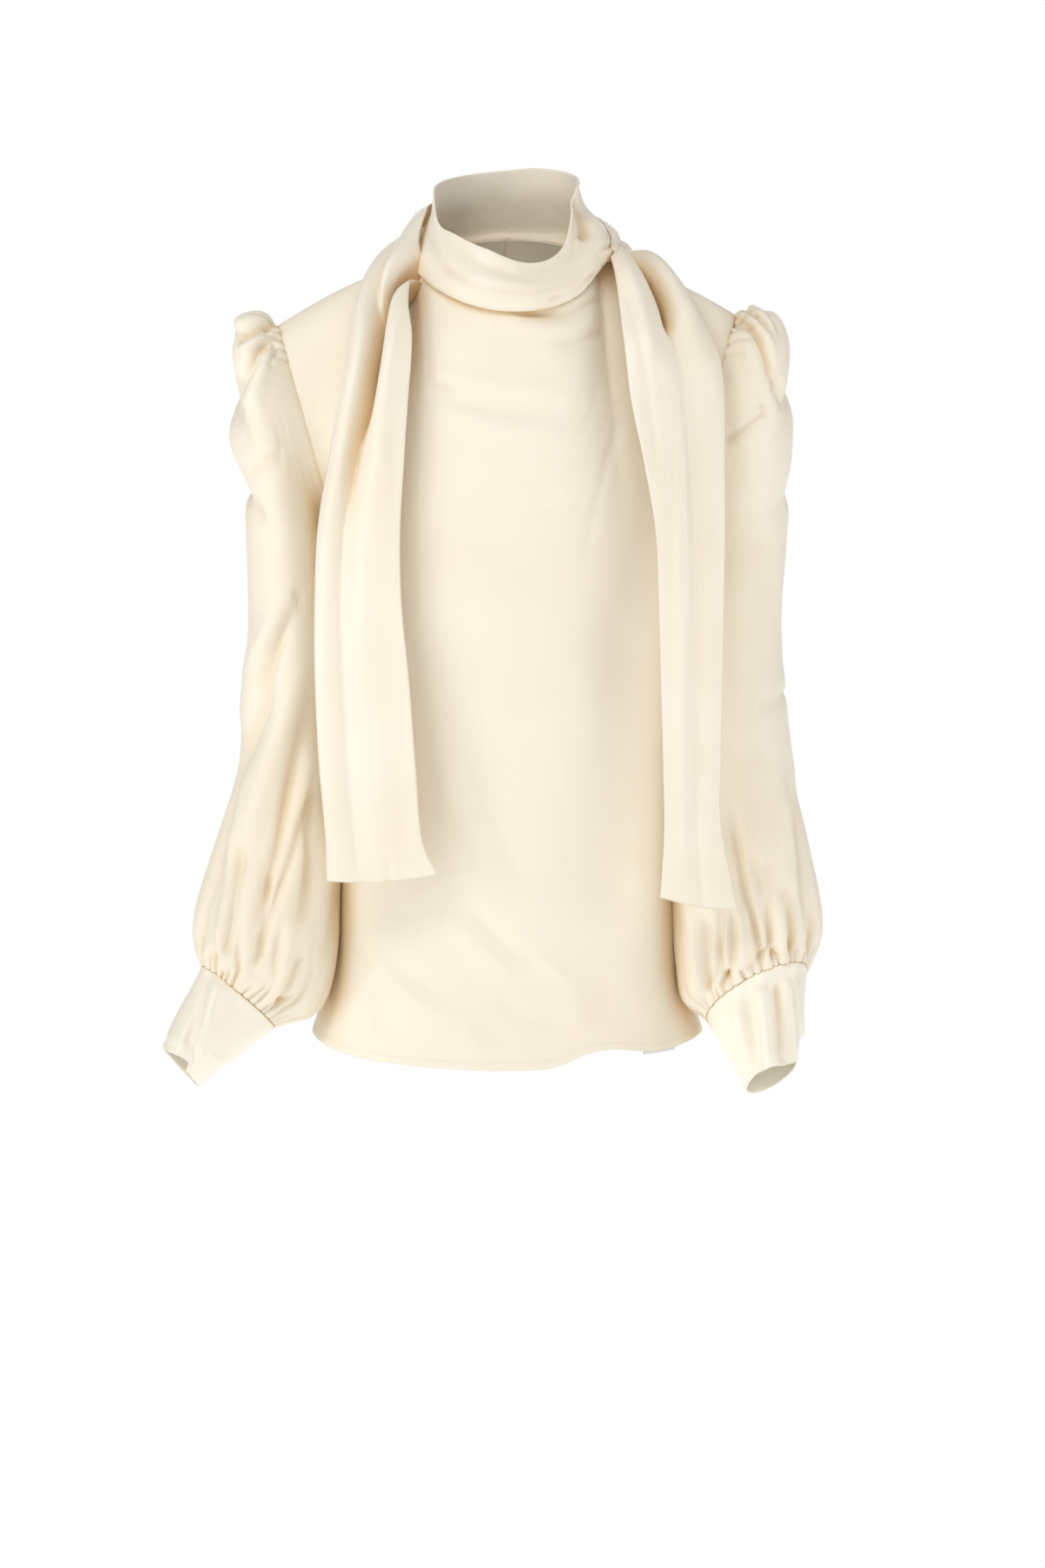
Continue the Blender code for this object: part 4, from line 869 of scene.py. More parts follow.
def chest(face, s, t):
    """A point of the panel above the armpits: the cubic from the section there (t = 0) to the
    top edge (t = 1), sweeping forward at the armhole."""
    s, t = np.broadcast_arrays(s, t)
    share, sign = np.abs(s), np.sign(s)
    level = np.full(s.shape, ARMPIT_Z)
    start = section(face, s, level)
    beside = section(face, np.clip(s + 0.01 * sign, -1, 1), level)
    before = section(face, s - 0.01 * sign, level)
    out = unit(beside - before + 1e-9)
    up = np.zeros(s.shape + (3,))
    up[..., 2] = CHEST_RISE - CHEST_RISE_LOSS * share**5
    leave = up - out * (CHEST_SWEEP * share**5)[..., None]
    turn = ease(share / NECK_SHARE)
    arrive = np.stack(
        [
            sign * SHOULDER_OUT * share**3,
            -face * (NECK_INWARD + SHOULDER_INWARD * turn),
            NECK_UPWARD - SHOULDER_FLATTER * turn + ARMHOLE_UPWARD * share**3,
        ],
        axis=-1,
    )
    return hermite(t[..., None], start, leave, top_edge(face, s), arrive)


def hem_drop(face, s, z):
    """How far the uneven hem of the front lies below its level line."""
    if face > 0:
        return np.zeros(np.broadcast(s, z).shape)
    near = 1 - ease((z - HEM_Z) / HEM_DIP_REACH)
    return near * through(HEM_LINE[:, 0], HEM_LINE[:, 1], s)


def panel_rows(face, s, levels, shares):
    """The grid of a body panel: level rows up to the armpits, then rows of the chest."""
    s_low, z = np.meshgrid(s, levels)
    low = section(face, s_low, z)
    low[..., 2] -= hem_drop(face, s_low, z)
    s_high, t = np.meshgrid(s, shares)
    return np.concatenate([low, chest(face, s_high, t)])


def panel_relief(face, s, rows, strength):
    """The relief of a panel: its creases, a soft uneven ripple, the swell of the front below the
    collar, the double hem with its line of stitches, and a shallow roll along each seam."""
    x, z = rows[..., 0], rows[..., 2]
    height = crease_height(x, z, FRONT_CREASES if face < 0 else BACK_CREASES) * strength
    height = height + PANEL_RIPPLE * ripple(x, z, PANEL_SEEDS[face], PANEL_RIPPLE_LENGTH)
    if face < 0:
        across = np.exp(-((x / NECK_SWELL_HALF_WIDTH) ** 4))
        height = height + NECK_SWELL * across * bell(z - NECK_SWELL_Z, NECK_SWELL_REACH)
    above = z - rows[:1, :, 2]
    height = height + HEM_LAYER * (1 - ease((above - HEM_TURN) / HEM_TURN_EDGE))
    height = height - HEM_GROOVE * bell(above - HEM_STITCH, HEM_GROOVE_WIDTH)
    wave = np.sin(x * 2 * math.pi / HEM_PUCKER_PITCH + 1.6 * np.sin(x / HEM_PUCKER_WANDER))
    height = height + HEM_PUCKER * wave * bell(above - HEM_STITCH, HEM_PUCKER_REACH)
    return height - SEAM_ROLL * bell((1 - np.abs(s)) * PANEL_HALF_WIDTH, SEAM_ROLL_WIDTH)


def panel_grid(face, strength):
    """The grid of a panel with its normals, and the cells that the slit of the back leaves open.
    The slit's two edges part by a hair and lap over each other a little."""
    s = np.linspace(-1, 1, PANEL_COLUMNS)
    if face > 0:
        slit = SLIT_HALF_WIDTH / (NECK_HALF_WIDTH * math.pi / 2 / NECK_SHARE)
        middle = len(s) // 2
        s = np.concatenate([s[:middle], [-slit, slit], s[middle + 1 :]])
    hem = np.linspace(HEM_Z, HEM_Z + HEM_BAND, HEM_ROWS)
    levels = np.concatenate([hem[:-1], np.linspace(hem[-1], ARMPIT_Z, PANEL_ROWS)[:-1]])
    rows = panel_rows(face, s, levels, np.linspace(0, 1, CHEST_ROWS))
    open_cells = None
    if face > 0:
        rows[:, middle, 0], rows[:, middle + 1, 0] = -SLIT_HALF_WIDTH, SLIT_HALF_WIDTH
        above = rows[:, middle, 2] - (rows[-1, middle, 2] - SLIT_LENGTH)
        open_cells = np.zeros(rows.shape[:2], bool)
        open_cells[:, middle] = above > 0
        for column, sign in ((middle, 1), (middle + 1, -1)):
            lap = ease(above / SLIT_START) * sign
            rows[:, column, 0] += lap * (SLIT_HALF_WIDTH + SLIT_LAP)
            rows[:, column, 1] += lap * SLIT_LIFT
    normals = grid_normals(rows, flip=face > 0)
    rows = rows + normals * panel_relief(face, s[None, :], rows, strength)[..., None]
    return rows, grid_normals(rows, flip=face > 0), open_cells


def label_grid():
    """The label: a tape inside the front at the hem, down to its fold below the hem and up again
    behind. Across it follows the panel's section."""
    s = np.linspace(0, 1, 200)
    x = section(-1, s, np.full(s.shape, HEM_Z))[:, 0]
    ends = np.interp([LABEL_X - LABEL_WIDTH / 2, LABEL_X + LABEL_WIDTH / 2], x, s)
    down = np.linspace(0, 1, LABEL_ROWS)
    bend = np.linspace(0, math.pi, LABEL_ROWS // 2)[1:-1]
    fold = HEM_Z - LABEL_BELOW_HEM
    z = np.concatenate([fold + LABEL_LENGTH * (1 - down), fold - LABEL_FOLD * np.sin(bend),
                        fold + LABEL_LENGTH * down])
    depth = LABEL_DEPTH + LABEL_FOLD * np.concatenate([0 * down, 1 - np.cos(bend), 0 * down + 2])
    s, z = np.meshgrid(np.linspace(*ends, LABEL_COLUMNS), z)
    front = section(-1, s, z)
    beside = section(-1, s + 0.01, z) - front
    inward = unit(np.stack([-beside[..., 1], beside[..., 0], 0 * z], -1))
    inward = inward * np.sign(inward[..., 1:2])
    wave = LABEL_WAVE * (1 + np.sin((s - ends[0]) / (ends[1] - ends[0]) * 5.0 + z * 0.2))
    return front + inward * (depth[:, None] + wave)[..., None]


def armhole(side):
    """The armhole's edge and the directions that lead out of it along the cloth, from the
    shoulder down the front to the armpit and up the back."""
    t = np.linspace(1, 0, ARMHOLE_POINTS)
    s = np.full(t.shape, float(side))
    edges, outs = [], []
    for face, order in ((-1, slice(None)), (1, slice(None, None, -1))):
        edge = chest(face, s, t)
        out = level_with(edge - chest(face, s * 0.97, t), unit(np.gradient(edge, axis=0)))
        edges.append(edge[order])
        outs.append(out[order])
    outs[0][-1] = outs[1][0] = unit(outs[0][-1] + outs[1][0])
    outs[0][0] = outs[1][-1] = unit(outs[0][0] + outs[1][-1])
    return np.concatenate(edges), np.concatenate(outs)


# ---------------------------------------------------------------- sleeves and cuffs


def head_edge(side, turn):
    """The edge of the sleeve's head: turn is 0 at the shoulder and pi at the armpit."""
    edge, out = armhole(side)
    half = np.linspace(0, math.pi, ARMHOLE_POINTS)
    keys = np.concatenate([half, half + math.pi + 1e-6])
    at = [np.interp(turn % (2 * math.pi), keys, values[:, k]) for values in (edge, out) for k in range(3)]
    return np.stack(at[:3], -1), unit(np.stack(at[3:], -1))


def ellipse(side, row, turn):
    """A ring through its outermost and innermost points, given by the seven sizes of a row."""
    out_x, out_z, in_x, in_z, mid_y, depth, lift = row
    outer = np.stack([side * out_x, mid_y, out_z], axis=-1)
    inner = np.stack([side * in_x, mid_y, in_z], axis=-1)
    middle, reach = (outer + inner) / 2, (outer - inner) / 2
    front = np.stack([0 * depth, -depth, lift], axis=-1)
    return middle + reach * np.cos(turn)[..., None] + front * np.sin(turn)[..., None]


def arm_ring(side, place, turn):
    """A ring of the sleeve below its head; place is 1 at the cuff seam."""
    rows = SLEEVE_SECTIONS[side]
    keys = np.linspace(0, 1, len(rows))
    return ellipse(side, [through(keys, rows[:, k], place) for k in range(7)], turn)


def sleeve_surface(side, turn, v):
    """A point of the sleeve before its folds: v is 0 at the armhole and 1 at the cuff seam. Down
    to CAP_SHARE it is the cubic that leaves the armhole outwards and arrives downwards."""
    place = np.clip((v - CAP_SHARE) / (1 - CAP_SHARE), 0, 1)
    arm = arm_ring(side, place, turn)
    edge, _ = head_edge(side, turn)
    first = arm_ring(side, np.zeros(turn.shape), turn)
    reach = np.linalg.norm(first - edge, axis=-1, keepdims=True)
    upper = (1 + np.cos(turn))[..., None] / 2
    leave = upper * np.array(CAP_OUT) + (1 - upper) * np.array(CAP_UNDER)
    leave = leave * np.array([side, 1, 1])
    leave[..., 1] -= CAP_FORWARD * np.sin(turn)
    share = np.clip(v / CAP_SHARE, 0, 1)[..., None]
    down = np.array([0, 0, -1.0])
    cap = hermite(share, edge, unit(leave) * reach * CAP_FULLNESS, first, down * reach * CAP_ARRIVAL)
    return np.where((v < CAP_SHARE)[..., None], cap, arm)


def large_folds(side, turn, v):
    """The height of the sleeve's large folds: bells across lines in (degrees round, share down),
    measured in millimetres. They fade at both seams."""
    degrees = np.degrees(turn) % 360
    total = np.zeros(turn.shape)
    for u0, v0, u1, v1, wide, high in SLEEVE_FOLDS[side]:
        du, dv = (u1 - u0) * DEGREE_RUN, (v1 - v0) * FOLD_RUN
        length = math.hypot(du, dv)
        for wrap in (-360, 0, 360):
            pu, pv = (degrees + wrap - u0) * DEGREE_RUN, (v - v0) * FOLD_RUN
            along = (pu * du + pv * dv) / length
            beside = (pu * dv - pv * du) / length
            past = np.maximum(np.maximum(-along, along - length), 0)
            total = total + high * bell(beside, wide) * bell(past, 1.6 * wide)
    return total * ease(v / 0.04) * ease((1 - v) / 0.05)


def pucker(turn, count, seed):
    """Round crests and narrow valleys, count of them round the ring, unevenly spaced."""
    bent = turn + PUCKER_UNEVEN / count * (np.sin(3 * turn + seed) + 0.8 * np.sin(7 * turn + 2 * seed))
    return 2 * np.abs(np.cos(count * bent / 2)) ** PUCKER_ROUNDNESS - PUCKER_SINK


def gathers(side, turn, v, points):
    """The valleys between the gathers at the cuff seam. Each is a bell across a line that runs up
    the sleeve: narrow and shallow at the seam, wider and deeper above it, and gone past its own
    length. Of every three, one is short, one longer and one runs far up."""
    random = np.random.default_rng(40 + side)
    around = np.linalg.norm(np.roll(points, -1, axis=1) - points, axis=-1).sum(axis=1, keepdims=True)
    above = (1 - v) * ARM_LENGTH
    total = GATHER_SWELL * bell(above, GATHER_SWELL_REACH)
    wide = GATHER_WIDTH + GATHER_SPREAD * above
    for k in range(GATHERS):
        angle = 2 * math.pi * (k + random.uniform(-0.3, 0.3)) / GATHERS
        length = GATHER_LENGTHS[k % 3] * random.uniform(0.75, 1.3)
        drift = random.uniform(-0.16, 0.16)
        away = (turn - angle - drift * above / 100 + math.pi) % (2 * math.pi) - math.pi
        away = away * around / (2 * math.pi)
        deep = GATHER_DEPTH + GATHER_DEEPENING * np.minimum(above, GATHER_DEEPEST)
        total = total - deep * bell(above, length) * random.uniform(0.8, 1.2) * bell(away, wide)
    return total


def sleeve_relief(side, turn, v, points, strength):
    """The sleeve's relief: large folds, the head's pleats, the inner swell, the gathers at the
    cuff, creases placed as seen from the front and mirrored on the back, and a soft ripple."""
    x, z = points[..., 0], points[..., 2]
    front = ease((np.sin(turn) + 0.5) / 0.5)
    lower = ease((v - 0.45) / 0.1)
    facing = ease((np.sin(turn) - 0.1) / 0.5) * (1 - lower)
    height = large_folds(side, turn, v) * (1 - front * (0.3 + 0.3 * lower) - 0.45 * facing)
    degrees = np.degrees(turn)
    near_top = ease((PLEAT_DEGREES - np.abs((degrees + 180) % 360 - 180)) / 26)
    pleats = pucker(turn, HEAD_PLEATS, 1.7 + side) * near_top * (1 - ease((v - 0.01) / PLEAT_SHARE))
    height = height + PLEAT_HEIGHT * pleats
    inner = bell(degrees % 360 - 180, INNER_SWELL_DEGREES)
    height = height + INNER_SWELL * inner * ease((v - 0.60) / 0.12) * ease((1.0 - v) / 0.10)
    creases = front * crease_height(x, z, SLEEVE_CREASES[side])
    creases = creases + (1 - front) * crease_height(-x, z, SLEEVE_CREASES[-side])
    height = height + creases * strength * ease((1 - v) * ARM_LENGTH / CREASE_END_ABOVE_CUFF)
    height = height + gathers(side, turn, v, points)
    return height + SLEEVE_RIPPLE * ripple(np.cos(turn) * 60, v * 500, 21 + side, 120.0)


def seam_rolls(v, height):
    """The sleeve's height with its rolls at the seams: in along the armhole, and tucked into the
    cuff at the very end."""
    seam = v * CAP_LENGTH / CAP_SHARE
    height = height - SEAM_ROLL * bell(seam, SEAM_ROLL_WIDTH) - ARMHOLE_GROOVE * bell(seam, SEAM_LINE)
    tucked = ease(1 - (1 - v) * ARM_LENGTH / TUCK_LENGTH)
    return height * (1 - tucked) - TUCK_DEPTH * tucked


def sleeve_grid(side, strength):
    """The grid of a sleeve, from the armhole to just inside the cuff, and its relief."""
    v = np.concatenate(
        [
            np.linspace(0, 1, SLEEVE_CAP_ROWS)[:-1] ** 1.25 * CAP_SHARE,
            np.linspace(CAP_SHARE, GATHERS_FROM, SLEEVE_ARM_ROWS)[:-1],
            1 - (1 - GATHERS_FROM) * (1 - np.linspace(0, 1, SLEEVE_GATHER_ROWS)) ** 1.5,
        ]
    )
    share = np.arange(SLEEVE_POINTS) / SLEEVE_POINTS * 2 * math.pi
    share, v = np.meshgrid(share, v)
    turn = share - CAP_CROWDING * (1 - ease(v / 0.3)) * np.sin(share)
    rows = sleeve_surface(side, turn, v)
    normals = grid_normals(rows, closed=True, flip=side < 0)
    _, out = head_edge(side, turn[0])
    run = cuff_run(side)
    normals[0] = level_with(normals[0], out)
    normals[-1] = level_with(normals[-1], run)
    relief = sleeve_relief(side, turn, v, rows, strength)
    rows = rows + normals * seam_rolls(v, relief)[..., None]
    rows[0] -= out * HEAD_TUCK
    rows[-1] += run * CUFF_TUCK
    return rows, relief


def cuff_run(side):
    """The direction of the cuff, from the seam to its free edge."""
    turn = np.linspace(0, 2 * math.pi, 64, endpoint=False)
    start = ellipse(side, SLEEVE_SECTIONS[side][-1], turn).mean(axis=0)
    return unit(ellipse(side, CUFF_EDGES[side], turn).mean(axis=0) - start)


def cuff_grid(side, strength):
    """The grid of a cuff: straight from the ring of the seam to the ring of its free edge, with
    the gathers' pucker at the seam, the creases of its front and the notch of the free edge."""
    turn = np.arange(CUFF_POINTS) / CUFF_POINTS * 2 * math.pi
    start = ellipse(side, SLEEVE_SECTIONS[side][-1], turn) + cuff_run(side) * SEAM_GAP
    end = ellipse(side, CUFF_EDGES[side], turn)
    share = np.linspace(0, 1, CUFF_ROWS)[:, None]
    rows = start * (1 - share[..., None]) + end * share[..., None]
    normals = grid_normals(rows, closed=True, flip=side < 0)
    height = CUFF_PUCKER * pucker(turn, CUFF_PLEATS, 0.4 + side) * (1 - ease(share / 0.12))
    crease = crease_height(rows[..., 0], rows[..., 2], CUFF_CREASES[side]) * strength
    height = height + crease * ease((np.sin(turn) + 0.2) / 0.4)
    height = height - SEAM_ROLL * bell(share * CUFF_LENGTH, CUFF_ROLL_WIDTH)
    rows = rows + normals * height[..., None]
    place, rise, drop, deep = CUFF_NOTCH[side]
    past = np.degrees(turn) - place
    notch = deep * ease(1 + past / rise) * ease(1 - past / drop) * ease((share - 0.7) / 0.3)
    return rows - cuff_run(side) * notch[..., None]


# ---------------------------------------------------------------- collar and ties


def collar_surface(angle, height):
    """A point of the collar: angle in degrees round the neck, 0 in front, height 0 at the seam
    and 1 at the rim. A smooth curve through the seam and the four lines of the table."""
    wrapped = (angle + 180) % 360 - 180
    wrapped = np.where(wrapped < -170, wrapped + 360, wrapped)
    front = top_edge(-1, wrapped / 90 * NECK_SHARE)
    back = top_edge(1, (180 - np.abs(wrapped)) / 90 * NECK_SHARE * np.sign(wrapped + 1e-9))
    radians = np.radians(wrapped)
    outward = np.stack([np.sin(radians), -np.cos(radians), 0 * radians], axis=-1)
    lines = [np.where((np.abs(wrapped) <= 90)[..., None], front, back) + outward * COLLAR_SEAM_IN]
    angles = COLLAR_SECTIONS[:, 0]
    for columns in COLLAR_LINES:
        radius, level = (through(angles, COLLAR_SECTIONS[:, k], wrapped, 360) for k in columns)
        line = outward * radius[..., None]
        line[..., 2] = level
        lines.append(line)
    lines = np.array(lines)
    slopes = np.gradient(lines, COLLAR_HEIGHTS, axis=0)
    k = np.clip(np.searchsorted(COLLAR_HEIGHTS, height, side="right") - 1, 0, len(COLLAR_HEIGHTS) - 2)
    low, high = COLLAR_HEIGHTS[k], COLLAR_HEIGHTS[k + 1]
    t, step = ((height - low) / (high - low))[..., None], (high - low)[..., None]
    start, end = (k, *np.indices(angle.shape)), (k + 1, *np.indices(angle.shape))
    return hermite(t, lines[start], slopes[start] * step, lines[end], slopes[end] * step)


def collar_grid(under, strength):
    """The grid of the collar, lifted clear of the shoulders, with its normals and relief."""
    angles = np.arange(COLLAR_POINTS) / COLLAR_POINTS * 360 - 180
    angle, height = np.meshgrid(angles, np.linspace(0, 1, COLLAR_ROWS))
    rows = collar_surface(angle, height)
    rows = rest_on(rows, under, COLLAR_CLEARANCE + COLLAR_LIFT * ease(height / 0.1))
    normals = grid_normals(rows, closed=True)
    relief = crease_height(rows[..., 0], rows[..., 2], COLLAR_CREASES) * strength
    relief = relief * ease((96 - np.abs(angle)) / 14)
    relief = relief + COLLAR_RIPPLE * ripple(angle * 1.3, height * 110, 31, 90.0)
    return rows + normals * relief[..., None], normals, relief


def tie_grid(side, under, strength):
    """The grid of a tie: its two edges through the stations, straight across between them, laid
    on the cloth below, then two rolls that part at the groove, its creases and the sag of its
    end. Also how much painted shade each point gets from how deep it lies in a crease: 0 down to
    a set depth below the cloth, and 1 from a further span below that."""
    stations = TIE_STATIONS[side]
    keys = np.linspace(0, 1, len(stations))
    place, across = np.meshgrid(np.linspace(0, 1, TIE_ROWS), np.linspace(0, 1, TIE_COLUMNS), indexing="ij")
    *edges, crown, groove = [through(keys, stations[:, k], place) for k in range(8)]
    inner, outer = np.stack(edges[:3], -1), np.stack(edges[3:], -1)
    points = outer + (inner - outer) * across[..., None]
    sewn, loose = DOUBLE_CLOTH + SEAM_GAP, ease(place / TIE_SEWN)
    clear = sewn + (TIE_CLEARANCE - sewn) * loose
    clear = clear - TIE_NECK_DIP * ease((across - 0.6) / 0.3) * ease((0.5 - place) / 0.1) * loose
    points = rest_on(points, under, clear)
    share = np.where(across < groove, across / groove, (across - groove) / (1 - groove))
    roll = crown * np.clip(np.sin(math.pi * np.clip(share, 0, 1)), 0, 1) ** TIE_GROOVE_SHARPNESS
    crease = crease_height(points[..., 0], points[..., 2], TIE_CREASES[side]) * strength
    crease = crease * ease((TIE_CREASES_TO_Y - points[..., 1]) / TIE_CREASES_FADE)
    normals = grid_normals(points, flip=side < 0)
    points = points + normals * (roll + crease)[..., None]
    points[..., 2] -= TIE_END_SAG * np.sin(math.pi * across * 1.2) * ease((place - 0.9) / 0.1)
    return points, ease((-crease - TIE_FOLD_PAINTED_SHADE_FROM) / TIE_FOLD_SPAN)


# ---------------------------------------------------------------- materials


def new_material(name):
    """A new material, its nodes and its shader."""
    material = bpy.data.materials.new(name)
    material.use_nodes = True
    return material, material.node_tree, material.node_tree.nodes["Principled BSDF"]


def set_inputs(node, values):
    """Give a node's inputs their numbers."""
    for key, value in values.items():
        node.inputs[key].default_value = value


def add_node(tree, kind, links=(), **values):
    """A node with its values, each a socket's or else a setting, and links to its inputs."""
    node = tree.nodes.new(kind)
    for key, value in values.items():
        if key in node.inputs:
            node.inputs[key].default_value = value
        else:
            setattr(node, key, value)
    for key, source in links:
        tree.links.new(source, node.inputs[key])
    return node


def noise(tree, vector, **values):
    """Noise read at a vector."""
    return add_node(tree, "ShaderNodeTexNoise", [("Vector", vector)], **values).outputs["Fac"]


def stretched(tree, vector, scale):
    """A vector with its parts scaled each by its own number."""
    return add_node(tree, "ShaderNodeMapping", [("Vector", vector)], Scale=scale).outputs["Vector"]


def rescaled(tree, value, **ends):
    """A value from the range From_Min to From_Max brought to the range To_Min to To_Max."""
    node = add_node(tree, "ShaderNodeMapRange", [("Value", value)])
    set_inputs(node, {key.replace("_", " "): number for key, number in ends.items()})
    return node.outputs["Result"]


def mixed(tree, factor, first, second):
    """The first colour where the factor is 0 and the second where it is 1."""
    node = add_node(tree, "ShaderNodeMix", data_type="RGBA")
    for key, source in (("Factor", factor), ("A", first), ("B", second)):
        tree.links.new(source, node.inputs[key])
    return node.outputs["Result"]


def silk_weave_group():
    """A shader group of silk's own detail and of painted shade. It reads the cloth's UV in metres.
    Colour: the base colour with broad uneven warmth and fine slubs, and painted shade mixed in:
    warmer and darker in hollows that ambient occlusion finds, darker still in the folds that the
    fold attribute marks. Roughness: a value that varies with the warp. Normal: the bump of the
    crepe grain, of the warp threads and of small soft wrinkles."""
    name = "Silk weave"
    if name in bpy.data.node_groups:
        return bpy.data.node_groups[name]
    group = bpy.data.node_groups.new(name, "ShaderNodeTree")
    for direction, kind, labels in (
        ("INPUT", "Color", ("Colour", "Shade", "Painted hollow shade", "Painted fold shade")),
        ("INPUT", "Float", ("Grain", "Warp", "Wrinkle", "Smooth", "Rough")),
        ("OUTPUT", "Color", ("Colour",)),
        ("OUTPUT", "Float", ("Roughness",)),
        ("OUTPUT", "Vector", ("Normal",)),
    ):
        for label in labels:
            group.interface.new_socket(label, in_out=direction, socket_type="NodeSocket" + kind)
    start = group.nodes.new("NodeGroupInput").outputs
    end = group.nodes.new("NodeGroupOutput")
    link = group.links.new
    uv = add_node(group, "ShaderNodeUVMap", uv_map="cut").outputs["UV"]
    place = add_node(group, "ShaderNodeTexCoord").outputs["Object"]

    broad = noise(group, place, Scale=7.0, Detail=3.0, Roughness=0.5)
    slubs = noise(group, stretched(group, uv, SLUB_SCALE), Scale=1.0, Detail=3.0, Roughness=0.6)
    blotch = add_node(group, "ShaderNodeMath", operation="MAXIMUM")
    link(rescaled(group, broad, From_Min=0.4, From_Max=0.75), blotch.inputs[0])
    link(rescaled(group, slubs, From_Min=0.5, From_Max=0.85, To_Max=0.4), blotch.inputs[1])
    tint = mixed(group, blotch.outputs["Value"], start["Colour"], start["Shade"])
    # Painted shade: warmer and darker where ambient occlusion finds the cloth in hollows
    open_sky = add_node(group, "ShaderNodeAmbientOcclusion", samples=6, Distance=HOLLOW_PAINTED_SHADE_REACH).outputs["AO"]
    hollow_painted_shade = rescaled(group, open_sky, From_Min=0.85, From_Max=0.3)
    tint = mixed(group, hollow_painted_shade, tint, start["Painted hollow shade"])
    # Painted shade: darker still in the folds that the fold attribute marks
    fold = add_node(group, "ShaderNodeAttribute", attribute_name="fold").outputs["Fac"]
    link(mixed(group, fold, tint, start["Painted fold shade"]), end.inputs["Colour"])

    wrinkles = noise(group, place, Scale=38.0, Detail=3.0, Roughness=0.55, Distortion=0.6)
    threads = noise(group, stretched(group, uv, WARP_SCALE), Scale=1.0, Detail=2.0)
    grain = noise(group, place, Scale=2200.0, Detail=1.0)
    ends = [("Value", threads), ("To Min", start["Smooth"]), ("To Max", start["Rough"])]
    rough = add_node(group, "ShaderNodeMapRange", ends)
    link(rough.outputs["Result"], end.inputs["Roughness"])
    normal = []
    for height, strength, reach in (
        (wrinkles, "Wrinkle", 0.0012),
        (threads, "Warp", 0.00008),
        (grain, "Grain", 0.00012),
    ):
        links = [("Height", height), ("Strength", start[strength]), *normal]
        bump = add_node(group, "ShaderNodeBump", links, Distance=reach)
        normal = [("Normal", bump.outputs["Normal"])]
    link(bump.outputs["Normal"], end.inputs["Normal"])
    return group


def silk_material(name, colour, shade, finish):
    """Ivory silk: the weave group feeds colour, with its painted shade in hollows and folds,
    roughness and normal; the sheen stays constant. finish is a row of numbers, such as CREPE."""
    if name in bpy.data.materials:
        return bpy.data.materials[name]
    material, tree, shader = new_material(name)
    # The colour of the painted shade in hollows
    hollow_painted_shade = bpy.context.scene.blouse_silk.hollow_painted_shade
    weave = tree.nodes.new("ShaderNodeGroup")
    weave.node_tree = silk_weave_group()
    # The colour of the painted shade in the deepest marked folds
    deep = [part * share for part, share in zip(hollow_painted_shade, DEEP_FOLD_PAINTED_SHADE)]
    for label, value in (("Colour", colour), ("Shade", shade), ("Painted hollow shade", hollow_painted_shade), ("Painted fold shade", deep)):
        weave.inputs[label].default_value = (*value, 1)
    set_inputs(weave, dict(zip(("Grain", "Warp", "Wrinkle", "Smooth", "Rough"), finish)))
    for output, label in (("Colour", "Base Color"), ("Roughness", "Roughness"), ("Normal", "Normal")):
        tree.links.new(weave.outputs[output], shader.inputs[label])
    shader.inputs["Sheen Weight"].default_value = finish[-1]
    shader.inputs["Sheen Roughness"].default_value = 0.45
    shader.inputs["Sheen Tint"].default_value = (1.0, 0.97, 0.9, 1)
    shader.inputs["Specular IOR Level"].default_value = 0.4
    return material


def crepe_material():
    """The crepe face of the silk, on the body and sleeves."""
    silk = bpy.context.scene.blouse_silk
    return silk_material("Silk crepe", silk.colour, silk.shade, CREPE)


def satin_material():
    """The smoother face of the silk, on the collar and ties."""
    silk = bpy.context.scene.blouse_silk
    return silk_material("Silk satin", silk.satin, silk.shade, SATIN)


def cuff_material():
    """The same satin on the cuffs, with painted sheen: each part of its colour brought a share of
    the way to white, so that the cuffs read lighter than the collar and ties."""
    silk = bpy.context.scene.blouse_silk
    painted_sheen_colour = [part + share * (1 - part) for part, share in zip(silk.satin, CUFF_PAINTED_SHEEN)]
    return silk_material("Silk satin, shiny face", painted_sheen_colour, silk.satin, SHINY_SATIN)


def plain_material(name, colour, roughness):
    """A plain woven or spun finish with a fine mottle in its colour."""
    if name in bpy.data.materials:
        return bpy.data.materials[name]
    material, tree, shader = new_material(name)
    place = add_node(tree, "ShaderNodeTexCoord").outputs["Object"]
    blend = add_node(
        tree, "ShaderNodeMix", [("Factor", noise(tree, place, Scale=900.0, Detail=2.0))], data_type="RGBA"
    )
    blend.inputs["A"].default_value = (*colour, 1)
    blend.inputs["B"].default_value = (*[part * 0.9 for part in colour], 1)
    tree.links.new(blend.outputs["Result"], shader.inputs["Base Color"])
    shader.inputs["Roughness"].default_value = roughness
    return material


def thread_material():
    """The thread of the hem's stitches."""
    return plain_material("Silk thread", (0.88, 0.80, 0.65), 0.45)


def label_material():
    """The label's white tape."""
    return plain_material("Woven tape", (0.86, 0.87, 0.89), 0.8)


def floor_material():
    """A pale matt floor with a faint glow of its own, so that it stays white."""
    material, tree, shader = new_material("Pale floor")
    shader.inputs["Base Color"].default_value = (0.9, 0.9, 0.9, 1)
    shader.inputs["Roughness"].default_value = 0.8
    shader.inputs["Emission Color"].default_value = (1, 1, 1, 1)
    shader.inputs["Emission Strength"].default_value = 0.5
    return material


# ---------------------------------------------------------------- properties


